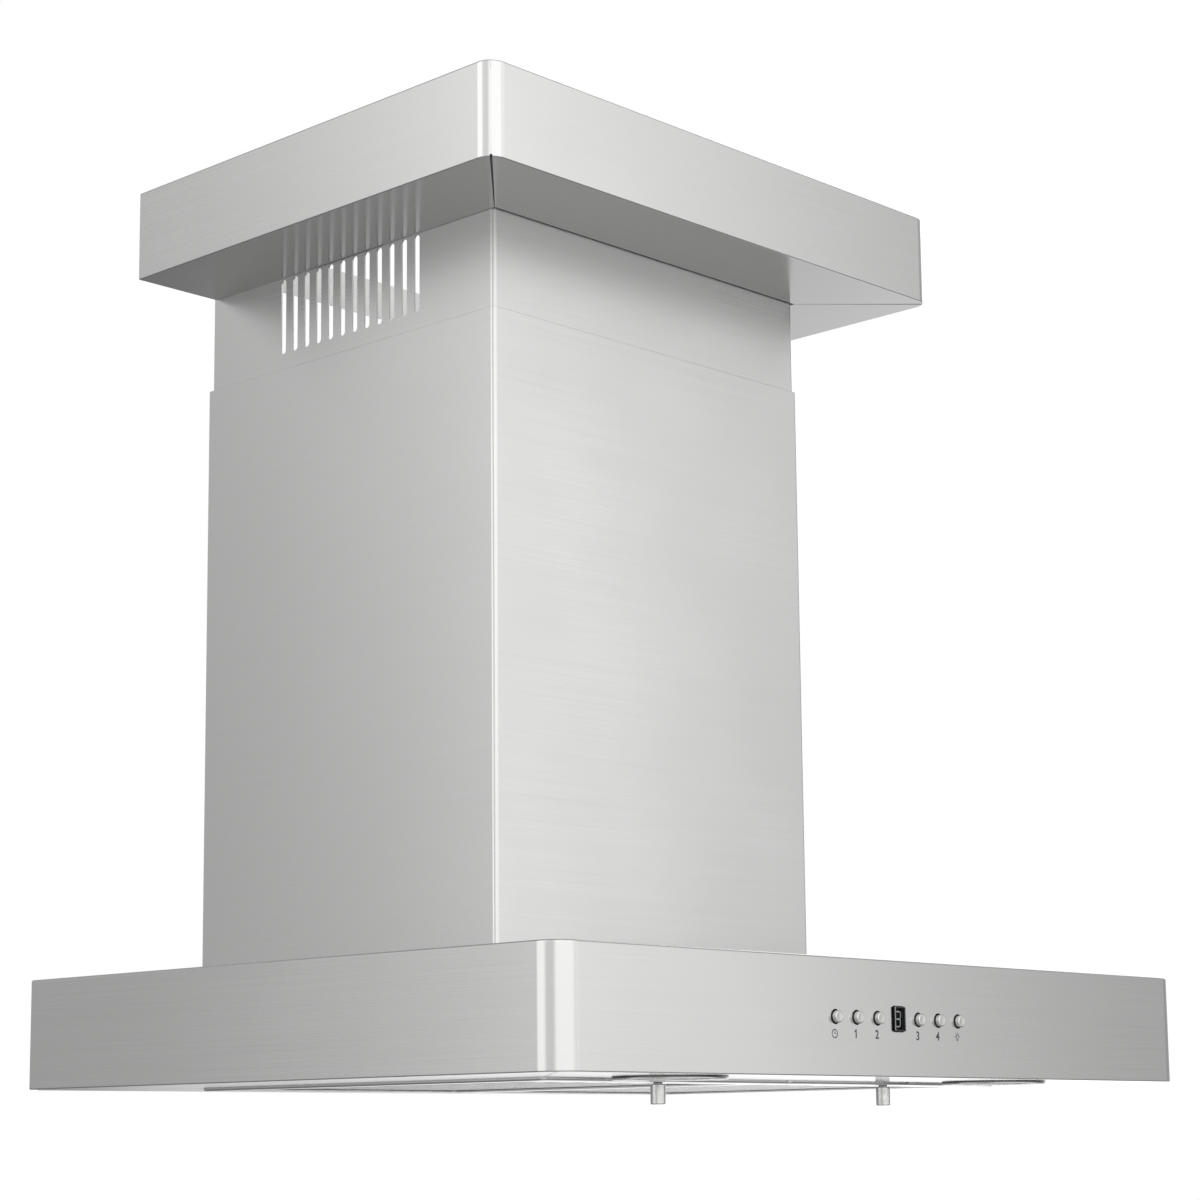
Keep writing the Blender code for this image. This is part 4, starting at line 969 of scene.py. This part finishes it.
# Parts whose CAD shape is already right
def refined(name):
    """A welded copy of a CAD node with softened edges."""
    source = frame["nodes"][name]
    mesh = source.data.copy()
    custom = mesh.attributes.get("custom_normal")
    if custom:
        mesh.attributes.remove(custom)
    merge_flat(mesh, 2 * WELD)
    slot = next(e["material_slot"] for e in frame["record"]["subparts"] if e["node"] == name)
    made = piece(
        f"{name}_finished", mesh, NODE_FINISH[slot], source["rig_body"], [name], edge=FINE_EDGE
    )
    if slot == "brushed_steel":
        flat_brush_and_shade(made)
    # The wall bracket is made white as painted light, so the slots show pale
    if name == "chimney_wall_bracket":
        made.data.materials[0] = SLOT_LIGHT_WHITE


def refine_rest():
    for name, source in frame["nodes"].items():
        if not source.hide_render:
            refined(name)


# Stage
def camera():
    data = bpy.data.cameras.new("camera")
    data.lens, data.sensor_width = CAMERA_LENS, 36.0
    data.shift_y = CAMERA_SHIFT
    data.clip_start, data.clip_end = 0.05, 100.0
    made = bpy.data.objects.new("camera", data)
    bpy.context.scene.collection.objects.link(made)
    turn = Matrix.Rotation(CAMERA_YAW, 4, "Z") @ Matrix.Rotation(math.pi / 2 + CAMERA_PITCH, 4, "X")
    made.matrix_world = Matrix.Translation(CAMERA_PLACE) @ turn @ Matrix.Rotation(CAMERA_ROLL, 4, "Z")
    bpy.context.scene.camera = made


def floor():
    low = cad_bounds[0]
    mesh = bpy.data.meshes.new("floor")
    shape = bmesh.new()
    bmesh.ops.create_grid(shape, x_segments=1, y_segments=1, size=FLOOR_HALF)
    shape.to_mesh(mesh)
    shape.free()
    made = bpy.data.objects.new("floor", mesh)
    bpy.context.scene.collection.objects.link(made)
    made.location = (0, 0, low.z - FLOOR_DROP)
    pale, tree, shader = surface("floor_pale", FLOOR_TONE, 0.9, Emission_Strength=0.25)
    drift = noise(tree, node(tree, "TexCoord").outputs["Object"], 2.0)
    shaded(tree, shader, FLOOR_TONE, ranged(tree, drift, 0.99, 1.01))
    shader.inputs["Emission Color"].default_value = (1.0, 1.0, 1.0, 1.0)
    mesh.materials.append(pale)
    made.visible_glossy = False


def ramp(tree, value, stops):
    """A smooth curve through (position, level) stops; levels may pass 1."""
    most = max(level for _, level in stops)
    made = node(tree, "ValToRGB", {"Fac": value})
    made.color_ramp.interpolation = "EASE"
    points = made.color_ramp.elements
    for i, (position, level) in enumerate(stops):
        point = points[i] if i < 2 else points.new(position)
        point.position = position
        point.color = (level / most,) * 3 + (1.0,)
    return combined(tree, "MULTIPLY", made.outputs["Color"], most)


def studio():
    """Soft light: one curve sets its strength round the hood, another from floor to ceiling."""
    world = bpy.data.worlds.new("studio")
    bpy.context.scene.world = world
    world.use_nodes = True
    tree = world.node_tree
    tree.nodes.clear()
    way = node(tree, "TexCoord").outputs["Generated"]
    turn = node(tree, "TexGradient", {"Vector": way}, gradient_type="RADIAL").outputs["Fac"]
    height = node(tree, "SeparateXYZ", {"Vector": way}).outputs["Z"]
    slope = node(tree, "Math", {0: height}, operation="ABSOLUTE").outputs["Value"]
    lean = node(tree, "Math", {0: slope, 1: LIGHT_LEAN, 2: turn}, operation="MULTIPLY_ADD").outputs["Value"]
    around = ramp(tree, lean, LIGHT_AROUND)
    rise = node(tree, "MapRange", {"Value": height, "From Min": -1.0, "From Max": 1.0}).outputs["Result"]
    level = ramp(tree, rise, LIGHT_UPWARD)
    light = combined(tree, "MULTIPLY", around, level)
    seen = node(tree, "LightPath").outputs["Is Camera Ray"]
    shown = node(tree, "Mix", {0: seen, 2: light, 3: 1.0}, data_type="FLOAT").outputs[0]
    background = node(tree, "Background", {"Color": (1.0, 1.0, 1.0, 1.0), "Strength": shown})
    out = node(tree, "OutputWorld")
    tree.links.new(background.outputs["Background"], out.inputs["Surface"])
    bpy.context.scene.view_settings.view_transform = "Standard"


dress_nodes()
canopy_shell()
chimney()
crown()
for side in ("left", "right"):
    filter_tray(side)
    filter_slats(side)
    filter_knob(side)
    lamp(side)
for button_name in BUTTONS:
    button(button_name)
display()
labels()
refine_rest()
camera()
floor()
studio()
